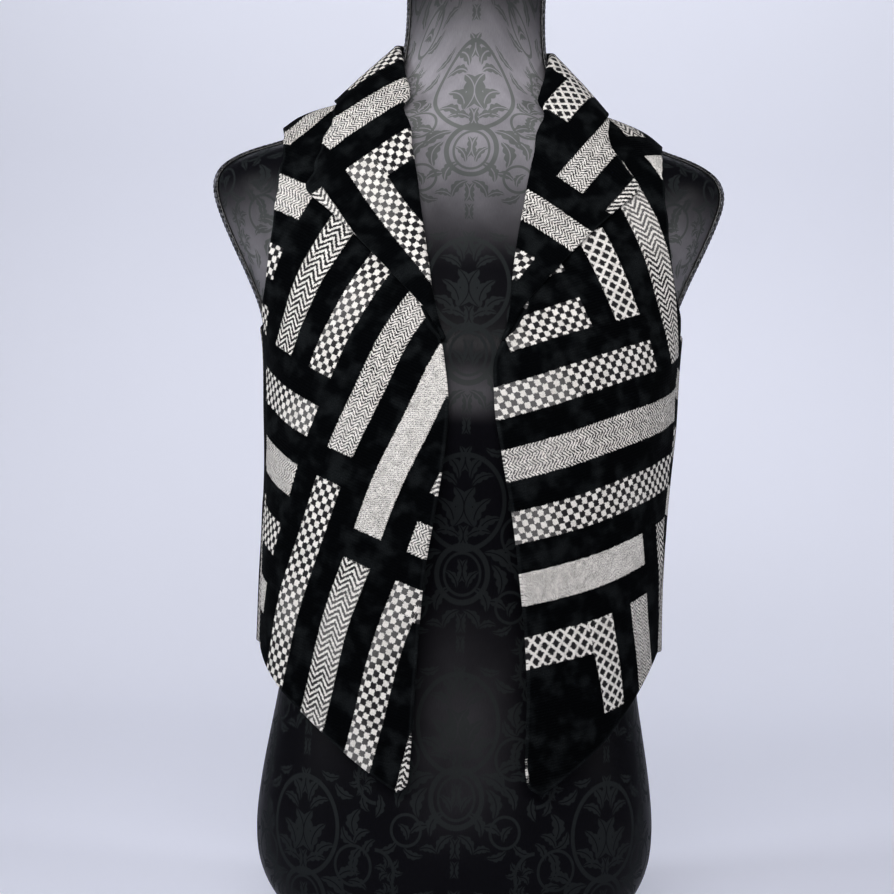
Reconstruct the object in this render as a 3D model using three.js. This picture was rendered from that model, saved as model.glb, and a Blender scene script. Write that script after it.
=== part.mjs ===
// A cropped, open-front vest with a shawl collar, worn by a limbless dress form.
// Millimetres. +Z is up, the garment's front faces -Y, and the wearer's left is +X.
// The form stands on its flat foot at z = 0. Every cloth piece is a wall of real thickness
// that follows the form's rings, held off them by the ease that the garment has there.
import * as THREE from "three";

// Driving dimensions.
const CLOTH = 2.6; // thickness of the doubled cloth
const SEAM_GAP = 0.3; // half the gap at the centre back, as an angle there
const COLLAR_SEAM = 1.3; // between the collar's foot and the panels
const COLLAR_LIE = 0.9; // between the collar's fall and the panel it lies on
const COLLAR_ROLL = 1.1; // free space inside the collar's rolled edge
const RING_POWER = 2.2; // the rings are superellipses of this power
const SIDE_SEAM = 75; // degrees from the centre front to the side seam
const SHIFT_X = 2; // the two shifts put the origin under the middle of the whole box
const SHIFT_Y = 3.1;
const BRAID_WIDTH = 7;
const BRAID_HEIGHT = 3;
const BRAID_GAP = 0.3;
const BRAID_FROM = 487; // the braid starts above the vest's underarm
const ARM_STEPS = 4;
const ROLL_STEPS = 5;
const FALL_STEPS = 9;
const RISE_FROM = 458.5; // the fall is higher on one side between these heights
const RISE_OVER = 225;
const SLIP = 3.5; // how much lower the vest lies on the wearer's left shoulder, and higher on the right
const SLIP_AT = 150; // at this distance from the centre
const SLIP_FROM = 480; // it grows between these heights
const SLIP_TO = 610;
const FORM_AROUND = 44; // points round one ring of the form
const CAP_AROUND = 32;
const CAP_GAP = 0.3;
const FRONT_COLUMNS = 15;
const BACK_COLUMNS = 7; // from the side to the neck point, and from there to the centre

// The plain cap on the neck: how high each ring is and its share of the neck's size.
const CAP = [
  { up: 0, share: 0.99 },
  { up: 4, share: 0.99 },
  { up: 7.6, share: 0.9 },
  { up: 9, share: 0.72 },
];

// The dress form: one row for each ring. half is half its width, front and back its depths.
const FORM = [
  { z: 0, half: 108, front: 78, back: 84, shift: 0 },
  { z: 8, half: 122, front: 88, back: 96, shift: 0 },
  { z: 20, half: 134, front: 96, back: 106, shift: 0 },
  { z: 38, half: 146, front: 102, back: 115, shift: 0 },
  { z: 60, half: 152.5, front: 106, back: 120, shift: 0 },
  { z: 80, half: 153.5, front: 107, back: 121, shift: 0 },
  { z: 110, half: 151, front: 105, back: 117, shift: 0 },
  { z: 148, half: 145, front: 101, back: 108, shift: 0 },
  { z: 190, half: 138, front: 96, back: 97, shift: 0 },
  { z: 235, half: 134, front: 93, back: 88, shift: 0 },
  { z: 290, half: 136, front: 96, back: 89, shift: 0 },
  { z: 345, half: 142, front: 108, back: 94, shift: 0 },
  { z: 395, half: 148.5, front: 121, back: 99, shift: 0 },
  { z: 440, half: 153, front: 121, back: 102, shift: 0 },
  { z: 470, half: 157, front: 114, back: 103, shift: -0.3 },
  { z: 487, half: 163, front: 108, back: 103, shift: -0.8 },
  { z: 505, half: 171, front: 101, back: 102, shift: -1.2 },
  { z: 530, half: 183, front: 92, back: 99, shift: -1.7 },
  { z: 555, half: 193.5, front: 84, back: 93, shift: -2 },
  { z: 571, half: 198, front: 79, back: 87, shift: -2 },
  { z: 579, half: 196.5, front: 76, back: 83.5, shift: -2 },
  { z: 585.5, half: 191, front: 73.5, back: 80.5, shift: -1.8 },
  { z: 591, half: 181, front: 71, back: 77.5, shift: -1.4 },
  { z: 597, half: 166.5, front: 68.5, back: 74.5, shift: -1 },
  { z: 601.5, half: 150.5, front: 66, back: 71.5, shift: -0.6 },
  { z: 605.5, half: 140, front: 64.5, back: 70, shift: -0.3 },
  { z: 610.5, half: 130, front: 62.5, back: 67.5, shift: 0 },
  { z: 617, half: 118, front: 60, back: 65, shift: 0 },
  { z: 622.5, half: 105, front: 57.5, back: 62.5, shift: 0 },
  { z: 627, half: 92, front: 55.5, back: 60, shift: 0 },
  { z: 633, half: 80, front: 53.5, back: 57.5, shift: 0 },
  { z: 644.5, half: 67, front: 50.5, back: 54.5, shift: 0 },
  { z: 659, half: 57, front: 48, back: 52, shift: 0 },
  { z: 679, half: 52.5, front: 46.5, back: 50.5, shift: 0 },
  { z: 706, half: 51, front: 46, back: 50, shift: 0 },
  { z: 732, half: 51.5, front: 46.5, back: 50.5, shift: 0 },
];

// The inside of the vest: it rests on the shoulders and the bust, and hangs free below
// them. shift is how far the whole ring has slipped to the wearer's left.
const VEST = [
  { z: 100, half: 153.5, front: 117, back: 121, shift: 0 },
  { z: 150, half: 153.5, front: 118, back: 116, shift: 0 },
  { z: 205, half: 153.5, front: 119.5, back: 109, shift: 0 },
  { z: 250, half: 153.5, front: 121, back: 107, shift: 0 },
  { z: 300, half: 153.5, front: 122.5, back: 106.5, shift: 1 },
  { z: 345, half: 154.5, front: 124, back: 106, shift: 2.5 },
  { z: 395, half: 157.5, front: 125, back: 105.5, shift: 3.8 },
  { z: 440, half: 159.5, front: 124, back: 105.5, shift: 3.6 },
  { z: 470, half: 163.2, front: 117, back: 106, shift: 2.5 },
  { z: 487, half: 169, front: 111, back: 106, shift: 1.2 },
  { z: 505, half: 176.5, front: 104, back: 105.2, shift: 0.5 },
  { z: 530, half: 189, front: 95.5, back: 102.5, shift: 0 },
  { z: 555, half: 199, front: 87.5, back: 97, shift: 0 },
  { z: 574, half: 200, front: 81.5, back: 91, shift: 0 },
  { z: 585, half: 191, front: 78, back: 87.5, shift: 0 },
  { z: 594, half: 177, front: 75, back: 84.5, shift: 0 },
  { z: 600, half: 164, front: 72.5, back: 82, shift: 0 },
  { z: 606, half: 152.5, front: 70.5, back: 78.5, shift: 0 },
  { z: 610, half: 146.5, front: 69, back: 76, shift: 0 },
  { z: 617.3, half: 137, front: 65.5, back: 71, shift: 0 },
  { z: 622, half: 127.5, front: 63.5, back: 68.5, shift: 0 },
  { z: 626, half: 116, front: 62, back: 66.5, shift: 0 },
  { z: 630, half: 102.5, front: 60.5, back: 64.5, shift: 0 },
  { z: 634, half: 91, front: 59, back: 63, shift: 0 },
  { z: 639.5, half: 81.5, front: 57.5, back: 61, shift: 0 },
  { z: 650, half: 69.5, front: 54.5, back: 58, shift: 0 },
  { z: 664, half: 61, front: 51.5, back: 56, shift: 0 },
  { z: 683, half: 56.5, front: 50, back: 54, shift: 0 },
  { z: 715, half: 55.8, front: 49.5, back: 53.5, shift: 0 },
];

// Soft folds in the hanging cloth: where each is, how far it stands out, its half width
// in degrees, and the height where it starts to show.
const FOLDS = [
  { angle: -62, out: 3.2, width: 13, top: 400 },
  { angle: -38, out: -2.2, width: 12, top: 330 },
  { angle: 30, out: 2.2, width: 13, top: 300 },
  { angle: 58, out: -2.4, width: 12, top: 360 },
  { angle: 86, out: 1, width: 12, top: 420 },
  { angle: 128, out: 3.4, width: 15, top: 400 },
  { angle: 163, out: -2.8, width: 14, top: 380 },
  { angle: 196, out: 3, width: 15, top: 400 },
  { angle: 231, out: -2.6, width: 14, top: 370 },
  { angle: 268, out: 2, width: 13, top: 420 },
];
const FOLD_FULL = 190; // a fold is at its full depth at this height

// A front, one row for each section from the hem to the shoulder seam. edge is the front
// edge and, above the break, the neck seam: its height and how far it lies from the centre
// on the wearer's left and right. side is the side seam, then the armhole, by height and
// distance from the centre. A distance of 0 is the side seam's or the shoulder's own angle.
const FRONT = [
  { edge: 123.5, left: 60, right: 42.5, side: 221, across: 0 },
  { edge: 129.5, left: 52, right: 36.5, side: 226, across: 0 },
  { edge: 150, left: 49, right: 34.5, side: 240, across: 0 },
  { edge: 190, left: 49, right: 33, side: 262, across: 0 },
  { edge: 235, left: 46.5, right: 31, side: 290, across: 0 },
  { edge: 285, left: 40, right: 28, side: 322, across: 0 },
  { edge: 325, left: 33, right: 23.5, side: 352, across: 0 },
  { edge: 365, left: 24, right: 19.5, side: 386, across: 0 },
  { edge: 400, left: 17, right: 18, side: 418, across: 0 },
  { edge: 430, left: 15.5, right: 21, side: 442, across: 0 },
  { edge: 448, left: 21.5, right: 24.5, side: 462, across: 0 },
  { edge: 458, left: 31.5, right: 32, side: 472, across: 157 },
  { edge: 478, left: 41, right: 40, side: 488, across: 153 },
  { edge: 508, left: 48, right: 47, side: 510, across: 149 },
  { edge: 542, left: 53, right: 52, side: 536, across: 145.5 },
  { edge: 574, left: 58, right: 57, side: 562, across: 142.5 },
  { edge: 592, left: 60.5, right: 60, side: 577, across: 141.5 },
  { edge: 608, left: 64, right: 64, side: 589, across: 141 },
  { edge: 620, left: 67.5, right: 67.5, side: 597.5, across: 141.5 },
  { edge: 630, left: 71, right: 71, side: 603, across: 142.5 },
  { edge: 638, left: 74, right: 74, side: 607, across: 143.5 },
  { edge: 641.5, left: 75, right: 75, side: 608.4, across: 144 },
  { edge: 645, left: 74.2, right: 74.2, side: 609.7, across: 144.5 },
  { edge: 649, left: 0, right: 0, side: 611, across: 0 },
];

// The back, by section: the side seam and armhole, the column that ends at the neck point,
// and the centre back. angle is set only where the armhole goes round the side.
const BACK = [
  { side: 221, across: 0, angle: 0, neck: 214, turn: 128, middle: 212 },
  { side: 240, across: 0, angle: 0, neck: 233, turn: 128, middle: 231 },
  { side: 262, across: 0, angle: 0, neck: 254, turn: 128, middle: 252 },
  { side: 290, across: 0, angle: 0, neck: 281, turn: 128, middle: 279 },
  { side: 322, across: 0, angle: 0, neck: 312, turn: 128, middle: 309 },
  { side: 352, across: 0, angle: 0, neck: 341, turn: 128, middle: 338 },
  { side: 386, across: 0, angle: 0, neck: 373, turn: 128, middle: 369 },
  { side: 418, across: 0, angle: 0, neck: 403, turn: 128, middle: 398 },
  { side: 442, across: 0, angle: 0, neck: 428, turn: 128, middle: 423 },
  { side: 462, across: 0, angle: 0, neck: 448, turn: 129, middle: 443 },
  { side: 457.5, across: 0, angle: 81, neck: 454, turn: 130, middle: 450 },
  { side: 455.5, across: 0, angle: 88, neck: 459, turn: 131, middle: 455 },
  { side: 457.5, across: 0, angle: 94, neck: 465, turn: 132, middle: 461 },
  { side: 463, across: 0, angle: 99, neck: 472, turn: 133, middle: 469 },
  { side: 473, across: 0, angle: 103.5, neck: 482, turn: 134, middle: 480 },
  { side: 488, across: 161, angle: 0, neck: 498, turn: 135, middle: 497 },
  { side: 509, across: 154, angle: 0, neck: 520, turn: 136, middle: 520 },
  { side: 535, across: 148, angle: 0, neck: 547, turn: 137, middle: 548 },
  { side: 560, across: 144, angle: 0, neck: 574, turn: 137.5, middle: 576 },
  { side: 584, across: 141.5, angle: 0, neck: 601, turn: 136, middle: 603 },
  { side: 599, across: 141.5, angle: 0, neck: 622, turn: 131, middle: 625 },
  { side: 607, across: 143.5, angle: 0, neck: 638, turn: 117, middle: 642 },
  { side: 611, across: 0, angle: 0, neck: 649, turn: 90, middle: 653 },
];

// The collar, by section from the centre back round to the break: the rolled edge (fold),
// the seam (foot) and the outer edge (fall), each by its height and its distance from the
// centre. In front the foot's distance is the front's own edge. swell is how far the fall
// stands off, and behind is true where the points lie behind the shoulders' ridge.
const COLLAR = [
  { foldX: 0, foldZ: 690, foot: 655, footX: 0, fallX: 0, fallZ: 618, behind: true, swell: 4 },
  { foldX: 24, foldZ: 690, foot: 654.6, footX: 30, fallX: 42, fallZ: 618.5, behind: true, swell: 4 },
  { foldX: 41, foldZ: 689, foot: 654, footX: 51, fallX: 76, fallZ: 621, behind: true, swell: 4 },
  { foldX: 52, foldZ: 686, foot: 653, footX: 63, fallX: 95, fallZ: 627, behind: true, swell: 3 },
  { foldX: 0, foldZ: 681, foot: 650.5, footX: 0, fallX: 0, fallZ: 630, behind: false, swell: 1 },
  { foldX: 55, foldZ: 670, foot: 646, footX: 0, fallX: 99, fallZ: 624, behind: false, swell: 1.5 },
  { foldX: 52.5, foldZ: 654, foot: 637, footX: 0, fallX: 101, fallZ: 615, behind: false, swell: 2 },
  { foldX: 50, foldZ: 630, foot: 622, footX: 0, fallX: 103, fallZ: 601, behind: false, swell: 2 },
  { foldX: 47, foldZ: 603, foot: 600, footX: 0, fallX: 108, fallZ: 588, behind: false, swell: 2 },
  { foldX: 43, foldZ: 575, foot: 575, footX: 0, fallX: 114, fallZ: 576, behind: false, swell: 2 },
  { foldX: 39, foldZ: 550, foot: 551, footX: 0, fallX: 120.5, fallZ: 563, behind: false, swell: 1.5 },
  { foldX: 35, foldZ: 526, foot: 527, footX: 0, fallX: 103, fallZ: 545, behind: false, swell: 1.2 },
  { foldX: 31.5, foldZ: 502, foot: 502, footX: 0, fallX: 82, fallZ: 524, behind: false, swell: 1 },
  { foldX: 28.5, foldZ: 478, foot: 478, footX: 0, fallX: 59, fallZ: 499, behind: false, swell: 0.8 },
  { foldX: 25, foldZ: 458.5, foot: 458.5, footX: 0, fallX: 35, fallZ: 470, behind: false, swell: 0.3 },
];
const SIDES = [
  { name: "left", sign: 1, rise: 5 },
  { name: "right", sign: -1, rise: -5 },
];

const rad = (degrees) => (degrees * Math.PI) / 180;

// A smooth reading of one column of a table at any place along its key column. It never
// passes the values of the two rows that it lies between.
function read(rows, key, column, at) {
  const last = rows.length - 1;
  let i = 0;
  while (i < last - 1 && rows[i + 1][key] < at) i += 1;
  const chord = (j) => (rows[j + 1][column] - rows[j][column]) / (rows[j + 1][key] - rows[j][key]);
  const slope = (j) => {
    if (j === 0) return chord(0);
    if (j === last) return chord(last - 1);
    const [before, after] = [chord(j - 1), chord(j)];
    return before * after > 0 ? (2 * before * after) / (before + after) : 0;
  };
  const span = rows[i + 1][key] - rows[i][key];
  const t = Math.min(Math.max((at - rows[i][key]) / span, 0), 1);
  const t2 = t * t;
  const t3 = t2 * t;
  return (
    (2 * t3 - 3 * t2 + 1) * rows[i][column] +
    (t3 - 2 * t2 + t) * span * slope(i) +
    (3 * t2 - 2 * t3) * rows[i + 1][column] +
    (t3 - t2) * span * slope(i + 1)
  );
}

function ring(rows, z) {
  return {
    half: read(rows, "z", "half", z),
    front: read(rows, "z", "front", z),
    back: read(rows, "z", "back", z),
    shift: read(rows, "z", "shift", z),
  };
}

// The point of a ring at an angle from the centre front, towards the wearer's left.
function ringPoint(rows, angle, z) {
  const { half, front, back, shift } = ring(rows, z);
  const s = Math.sin(rad(angle));
  const c = Math.cos(rad(angle));
  const bend = (v) => Math.sign(v) * Math.abs(v) ** (2 / RING_POWER);
  return new THREE.Vector3(shift + half * bend(s), -(c > 0 ? front : back) * bend(c), z);
}

// The angle of the ring's point that lies x from the centre, in front or behind.
function angleAt(rows, x, z, behind = false) {
  const share = Math.min(Math.abs(x) / ring(rows, z).half, 1);
  const angle = (Math.asin(share ** (RING_POWER / 2)) * 180) / Math.PI;
  return behind ? 180 - angle : angle;
}

// How far a point is from the rings' surface, about, and the way out.
function fromRings(rows, p) {
  const level = (x, y, z) => {
    const { half, front, back, shift } = ring(rows, z);
    const across = Math.abs(x - shift) / half;
    const through = Math.abs(y) / (y < 0 ? front : back);
    return (across ** RING_POWER + through ** RING_POWER) ** (1 / RING_POWER) - 1;
  };
  const h = 0.5;
  const g = new THREE.Vector3(
    level(p.x + h, p.y, p.z) - level(p.x - h, p.y, p.z),
    level(p.x, p.y + h, p.z) - level(p.x, p.y - h, p.z),
    level(p.x, p.y, p.z + h) - level(p.x, p.y, p.z - h),
  ).divideScalar(2 * h);
  const steep = g.length();
  return { far: level(p.x, p.y, p.z) / steep, way: g.divideScalar(steep) };
}

// The same point, moved out until it is at least that far from the vest's inside.
function clearOf(p, far) {
  const moved = p.clone();
  for (let i = 0; i < 4; i += 1) {
    const at = fromRings(VEST, moved);
    if (at.far < far) moved.addScaledVector(at.way, far - at.far);
  }
  return moved;
}

// How far the folds move the hanging cloth out at an angle and height.
function foldOut(angle, z) {
  return FOLDS.reduce((sum, fold) => {
    let turn = Math.abs(angle - fold.angle) % 360;
    if (turn > 180) turn = 360 - turn;
    const across = Math.max(0, 1 - (turn / (1.6 * fold.width)) ** 2) ** 2;
    const drop = Math.min(Math.max((fold.top - z) / (fold.top - FOLD_FULL), 0), 1);
    return sum + fold.out * across * drop * drop * (3 - 2 * drop);
  }, 0);
}

// The vest lies a little lower on one shoulder than on the other.
function slipped(p) {
  const t = Math.min(Math.max((p.z - SLIP_FROM) / (SLIP_TO - SLIP_FROM), 0), 1);
  return new THREE.Vector3(p.x, p.y, p.z - ((SLIP * p.x) / SLIP_AT) * t * t * (3 - 2 * t));
}

// A point of the vest's inside, or of its outside when out is the cloth's thickness.
function clothPoint(angle, z, out) {
  const p = ringPoint(VEST, angle, z);
  const { way } = fromRings(VEST, p);
  return p.addScaledVector(way, out + foldOut(angle, z));
}

// One closed mesh from rows of points that go round a solid, with both ends filled.
function loft(rows) {
  const across = rows[0].length;
  const points = rows.flat();
  const faces = [];
  for (let r = 0; r < rows.length - 1; r += 1) {
    for (let c = 0; c < across; c += 1) {
      const a = r * across + c;
      const b = r * across + ((c + 1) % across);
      faces.push(a, b, b + across, a, b + across, a + across);
    }
  }
  const fill = (start, flip) => {
    const middle = points.length;
    const centre = new THREE.Vector3();
    for (let c = 0; c < across; c += 1) centre.add(points[start + c]);
    points.push(centre.divideScalar(across));
    for (let c = 0; c < across; c += 1) {
      const a = start + c;
      const b = start + ((c + 1) % across);
      faces.push(...(flip ? [middle, b, a] : [middle, a, b]));
    }
  };
  fill(0, true);
  fill((rows.length - 1) * across, false);
  return geometryOf(points, faces);
}

// One closed wall between two grids of the same size.
function wall(inside, outside) {
  const rows = inside.length;
  const columns = inside[0].length;
  const points = [...inside.flat(), ...outside.flat()];
  const faces = [];
  const at = (r, c, layer) => layer * rows * columns + r * columns + c;
  const quad = (a, b, c, d) => faces.push(a, b, c, a, c, d);
  for (let r = 0; r < rows - 1; r += 1) {
    for (let c = 0; c < columns - 1; c += 1) {
      quad(at(r, c, 1), at(r, c + 1, 1), at(r + 1, c + 1, 1), at(r + 1, c, 1));
      quad(at(r, c, 0), at(r + 1, c, 0), at(r + 1, c + 1, 0), at(r, c + 1, 0));
    }
  }
  for (let c = 0; c < columns - 1; c += 1) {
    quad(at(0, c, 0), at(0, c + 1, 0), at(0, c + 1, 1), at(0, c, 1));
    quad(at(rows - 1, c + 1, 0), at(rows - 1, c, 0), at(rows - 1, c, 1), at(rows - 1, c + 1, 1));
  }
  for (let r = 0; r < rows - 1; r += 1) {
    quad(at(r + 1, 0, 0), at(r, 0, 0), at(r, 0, 1), at(r + 1, 0, 1));
    quad(at(r, columns - 1, 0), at(r + 1, columns - 1, 0), at(r + 1, columns - 1, 1), at(r, columns - 1, 1));
  }
  return geometryOf(points, faces);
}

function cloth(inside, outside) {
  const settle = (rows) => rows.map((row) => row.map(slipped));
  return wall(settle(inside), settle(outside));
}

function geometryOf(points, faces) {
  const geometry = new THREE.BufferGeometry();
  geometry.setAttribute("position", new THREE.Float32BufferAttribute(points.flatMap((p) => [p.x, p.y, p.z]), 3));
  geometry.setIndex(volumeOf(points, faces) < 0 ? turned(faces) : faces);
  geometry.computeVertexNormals();
  return geometry;
}

function volumeOf(points, faces) {
  let volume = 0;
  for (let i = 0; i < faces.length; i += 3) {
    const [a, b, c] = [points[faces[i]], points[faces[i + 1]], points[faces[i + 2]]];
    volume += a.dot(new THREE.Vector3().crossVectors(b, c)) / 6;
  }
  return volume;
}

function turned(faces) {
  const back = [];
  for (let i = 0; i < faces.length; i += 3) back.push(faces[i], faces[i + 2], faces[i + 1]);
  return back;
}

// A table read again at evenly spaced places between its rows.
function spread(rows, count) {
  const keyed = rows.map((row, i) => ({ ...row, i }));
  return Array.from({ length: count }, (_, k) => {
    const at = (k * (rows.length - 1)) / (count - 1);
    return Object.fromEntries(
      Object.keys(rows[0])
        .filter((column) => typeof rows[0][column] === "number")
        .map((column) => [column, read(keyed, "i", column, at)]),
    );
  });
}

// The dress form's body, from its flat foot to the top of its neck.
function formBody() {
  const rows = FORM.map(({ z }) =>
    Array.from({ length: FORM_AROUND }, (_, i) => ringPoint(FORM, (360 * i) / FORM_AROUND, z)),
  );
  return loft(rows);
}

// The plain cap on the neck, a low dome with a flat top.
function neckCap() {
  const top = FORM[FORM.length - 1];
  const rows = CAP.map(({ up, share }) =>
    Array.from({ length: CAP_AROUND }, (_, i) => {
      const p = ringPoint(FORM, (360 * i) / CAP_AROUND, top.z);
      return new THREE.Vector3(p.x * share, p.y * share, top.z + CAP_GAP + up);
    }),
  );
  return loft(rows);
}

// The braid on one side seam of the form, from the top of the neck to below the underarm.
function braid(sign) {
  const rows = FORM.filter(({ z }) => z >= BRAID_FROM).map(({ z }) => {
    const p = ringPoint(FORM, 90 * sign, z);
    const { way } = fromRings(FORM, new THREE.Vector3(p.x, 0, z));
    const low = p.clone().addScaledVector(way, BRAID_GAP);
    const high = p.clone().addScaledVector(way, BRAID_GAP + BRAID_HEIGHT);
    const wide = BRAID_WIDTH / 2;
    return [
      new THREE.Vector3(low.x, -wide, low.z),
      new THREE.Vector3(low.x, wide, low.z),
      new THREE.Vector3((low.x + high.x) / 2, wide, (low.z + high.z) / 2),
      new THREE.Vector3(high.x, wide / 2, high.z),
      new THREE.Vector3(high.x, -wide / 2, high.z),
      new THREE.Vector3((low.x + high.x) / 2, -wide, (low.z + high.z) / 2),
    ];
  });
  return loft(rows);
}

// Half a seam's gap at the side seam and the shoulder, as an angle.
const SIDE_GAP = 0.1;
const SHOULDER_GAP = 0.2;

// The sections of one front: its inner and outer ends by angle and height.
function frontSections({ name }) {
  return FRONT.map((row, i) => {
    const isTop = i === FRONT.length - 1;
    const shoulder = 90 - SHOULDER_GAP;
    const side = row.across === 0 ? SIDE_SEAM - SIDE_GAP : angleAt(VEST, row.across, row.side);
    return {
      inner: isTop ? shoulder : angleAt(VEST, row[name], row.edge),
      innerZ: row.edge,
      outer: isTop ? shoulder : side,
      outerZ: row.side,
    };
  });
}

// One front, with its column angles spread evenly from the front edge to the side.
function front(side) {
  const grid = (out) =>
    frontSections(side).map((row) =>
      Array.from({ length: FRONT_COLUMNS }, (_, c) => {
        const share = c / (FRONT_COLUMNS - 1);
        const angle = row.inner + (row.outer - row.inner) * share;
        const z = row.innerZ + (row.outerZ - row.innerZ) * share;
        return clothPoint(side.sign * angle, z, out);
      }),
    );
  return cloth(grid(0), grid(CLOTH));
}

function backSections() {
  return BACK.map((row, i) => {
    const isTop = i === BACK.length - 1;
    const shoulder = 90 + SHOULDER_GAP;
    const armhole = row.angle || angleAt(VEST, row.across, row.side, true);
    const side = row.across + row.angle === 0 ? SIDE_SEAM + SIDE_GAP : armhole;
    return {
      outer: isTop ? shoulder : side,
      outerZ: row.side,
      turn: isTop ? shoulder : row.turn,
      turnZ: row.neck,
      middleZ: row.middle,
    };
  });
}

// The back: from the side to the neck point's column, and from there to the centre.
function back() {
  const between = (a, b, share) => a + (b - a) * share;
  const half = (row) => [
    ...Array.from({ length: BACK_COLUMNS }, (_, c) => {
      const share = c / BACK_COLUMNS;
      return [between(row.outer, row.turn, share), between(row.outerZ, row.turnZ, share)];
    }),
    ...Array.from({ length: BACK_COLUMNS + 1 }, (_, c) => {
      const share = c / BACK_COLUMNS;
      return [between(row.turn, 180, share), between(row.turnZ, row.middleZ, share)];
    }),
  ];
  const grid = (out) =>
    backSections().map((row) => {
      const left = half(row);
      const right = left.slice(0, -1).reverse().map(([angle, z]) => [360 - angle, z]);
      return [...left, ...right].map(([angle, z]) => clothPoint(angle, z, out));
    });
  return cloth(grid(0), grid(CLOTH));
}

// The collar's sections on one side, each place by angle and height.
function collarSections(side) {
  const edge = frontSections(side);
  const rows = COLLAR.map((row) => {
    const angle = (x, z) => {
      if (x === 0) return row.behind ? 180 : 90;
      return angleAt(VEST, x, z, row.behind);
    };
    return {
      fold: angle(row.foldX, row.foldZ),
      foldZ: row.foldZ,
      foot: angle(row.footX, row.foot),
      footZ: row.foot,
      fall: angle(row.fallX, row.fallZ),
      fallZ: row.fallZ,
      swell: row.swell,
    };
  });
  return spread(rows, 2 * rows.length - 1).map((row) => {
    const onFront = row.fold < 90;
    return { ...row, foot: onFront ? read(edge, "innerZ", "inner", row.footZ) : row.foot };
  });
}

// One section's middle line: up the under layer from the foot, round the roll, and down
// the fall to the outer edge.
function collarLine(row, side, atMiddle) {
  const pitch = CLOTH + COLLAR_ROLL;
  const gap = atMiddle ? SEAM_GAP : 0;
  const at = (angle, z) => ringPoint(VEST, side.sign * (angle - gap), z);
  const away = (p) => fromRings(VEST, p).way;
  const foldTop = at(row.fold, row.foldZ);
  const foot = at(row.foot, row.footZ);
  const outward = foot.clone().sub(foldTop).normalize();
  const way = away(foldTop);
  const low = foldTop.addScaledVector(outward, pitch / 2).addScaledVector(way, CLOTH / 2);
  const footEnd = foot.addScaledVector(outward, -COLLAR_SEAM);
  footEnd.addScaledVector(away(footEnd), CLOTH / 2);
  const line = [];
  for (let i = 0; i < ARM_STEPS; i += 1) line.push(footEnd.clone().lerp(low, i / ARM_STEPS));
  const centre = low.clone().addScaledVector(way, pitch / 2);
  for (let i = 0; i < ROLL_STEPS; i += 1) {
    const t = (Math.PI * i) / (ROLL_STEPS - 1);
    const p = centre.clone().addScaledVector(way, (-Math.cos(t) * pitch) / 2);
    line.push(p.addScaledVector(outward, (-Math.sin(t) * pitch) / 2));
  }
  const start = line[line.length - 1];
  const lie = 1.5 * CLOTH + COLLAR_LIE;
  const lift = Math.sin(Math.PI * Math.min(Math.max((row.foldZ - RISE_FROM) / RISE_OVER, 0), 1));
  const edge = at(row.fall, row.fallZ + side.rise * lift);
  const end = edge.addScaledVector(away(edge), lie);
  for (let i = 1; i <= FALL_STEPS; i += 1) {
    const share = i / FALL_STEPS;
    const p = start.clone().lerp(end, share);
    p.addScaledVector(away(p), row.swell * 4 * share * (1 - share));
    line.push(clearOf(p, lie));
  }
  return line;
}

// One half of the collar, a wall to both sides of its middle lines.
function collar(side) {
  const lines = collarSections(side).map((row, k) => collarLine(row, side, k === 0));
  const last = lines.length - 1;
  const end = lines[0].length - 1;
  const normalAt = (r, c) => {
    const along = lines[Math.min(r + 1, last)][c].clone().sub(lines[Math.max(r - 1, 0)][c]);
    const across = lines[r][Math.min(c + 1, end)].clone().sub(lines[r][Math.max(c - 1, 0)]);
    return across.cross(along).normalize();
  };
  const grid = (out) =>
    lines.map((line, r) => line.map((p, c) => p.clone().addScaledVector(normalAt(r, c), out)));
  return cloth(grid(-CLOTH / 2), grid(CLOTH / 2));
}

function piece(name, geometry, colour, roughness) {
  const mesh = new THREE.Mesh(
    geometry,
    new THREE.MeshStandardMaterial({ color: colour, roughness, metalness: 0, side: THREE.FrontSide }),
  );
  mesh.name = name;
  return mesh;
}

const CLOTH_COLOUR = 0x2a2a2c;
const FORM_COLOUR = 0x2c2b30;
const BRAID_COLOUR = 0x131418;

const vest = new THREE.Group();
vest.add(piece("form_body", formBody(), FORM_COLOUR, 0.5));
vest.add(piece("form_neck_cap", neckCap(), FORM_COLOUR, 0.5));
SIDES.forEach((side) => {
  vest.add(piece(`form_braid_${side.name}`, braid(side.sign), BRAID_COLOUR, 0.6));
  vest.add(piece(`vest_front_${side.name}`, front(side), CLOTH_COLOUR, 0.9));
  vest.add(piece(`vest_collar_${side.name}`, collar(side), CLOTH_COLOUR, 0.9));
});
vest.add(piece("vest_back", back(), CLOTH_COLOUR, 0.9));
vest.position.set(SHIFT_X, SHIFT_Y, 0);

export default vest;
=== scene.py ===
# %% [markdown]
# # A vest on a dress form
# This lesson builds a cropped velvet vest with a wide shawl collar, and the limbless dress form
# that carries it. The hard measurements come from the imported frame, so the first cell loads it
# and keeps its box. Everything after that is in the frame's own axes: the vest faces -Y, the
# wearer's left is +X and up is +Z.

import math

import bpy
import numpy as np
from mathutils import Matrix, Vector


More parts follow.
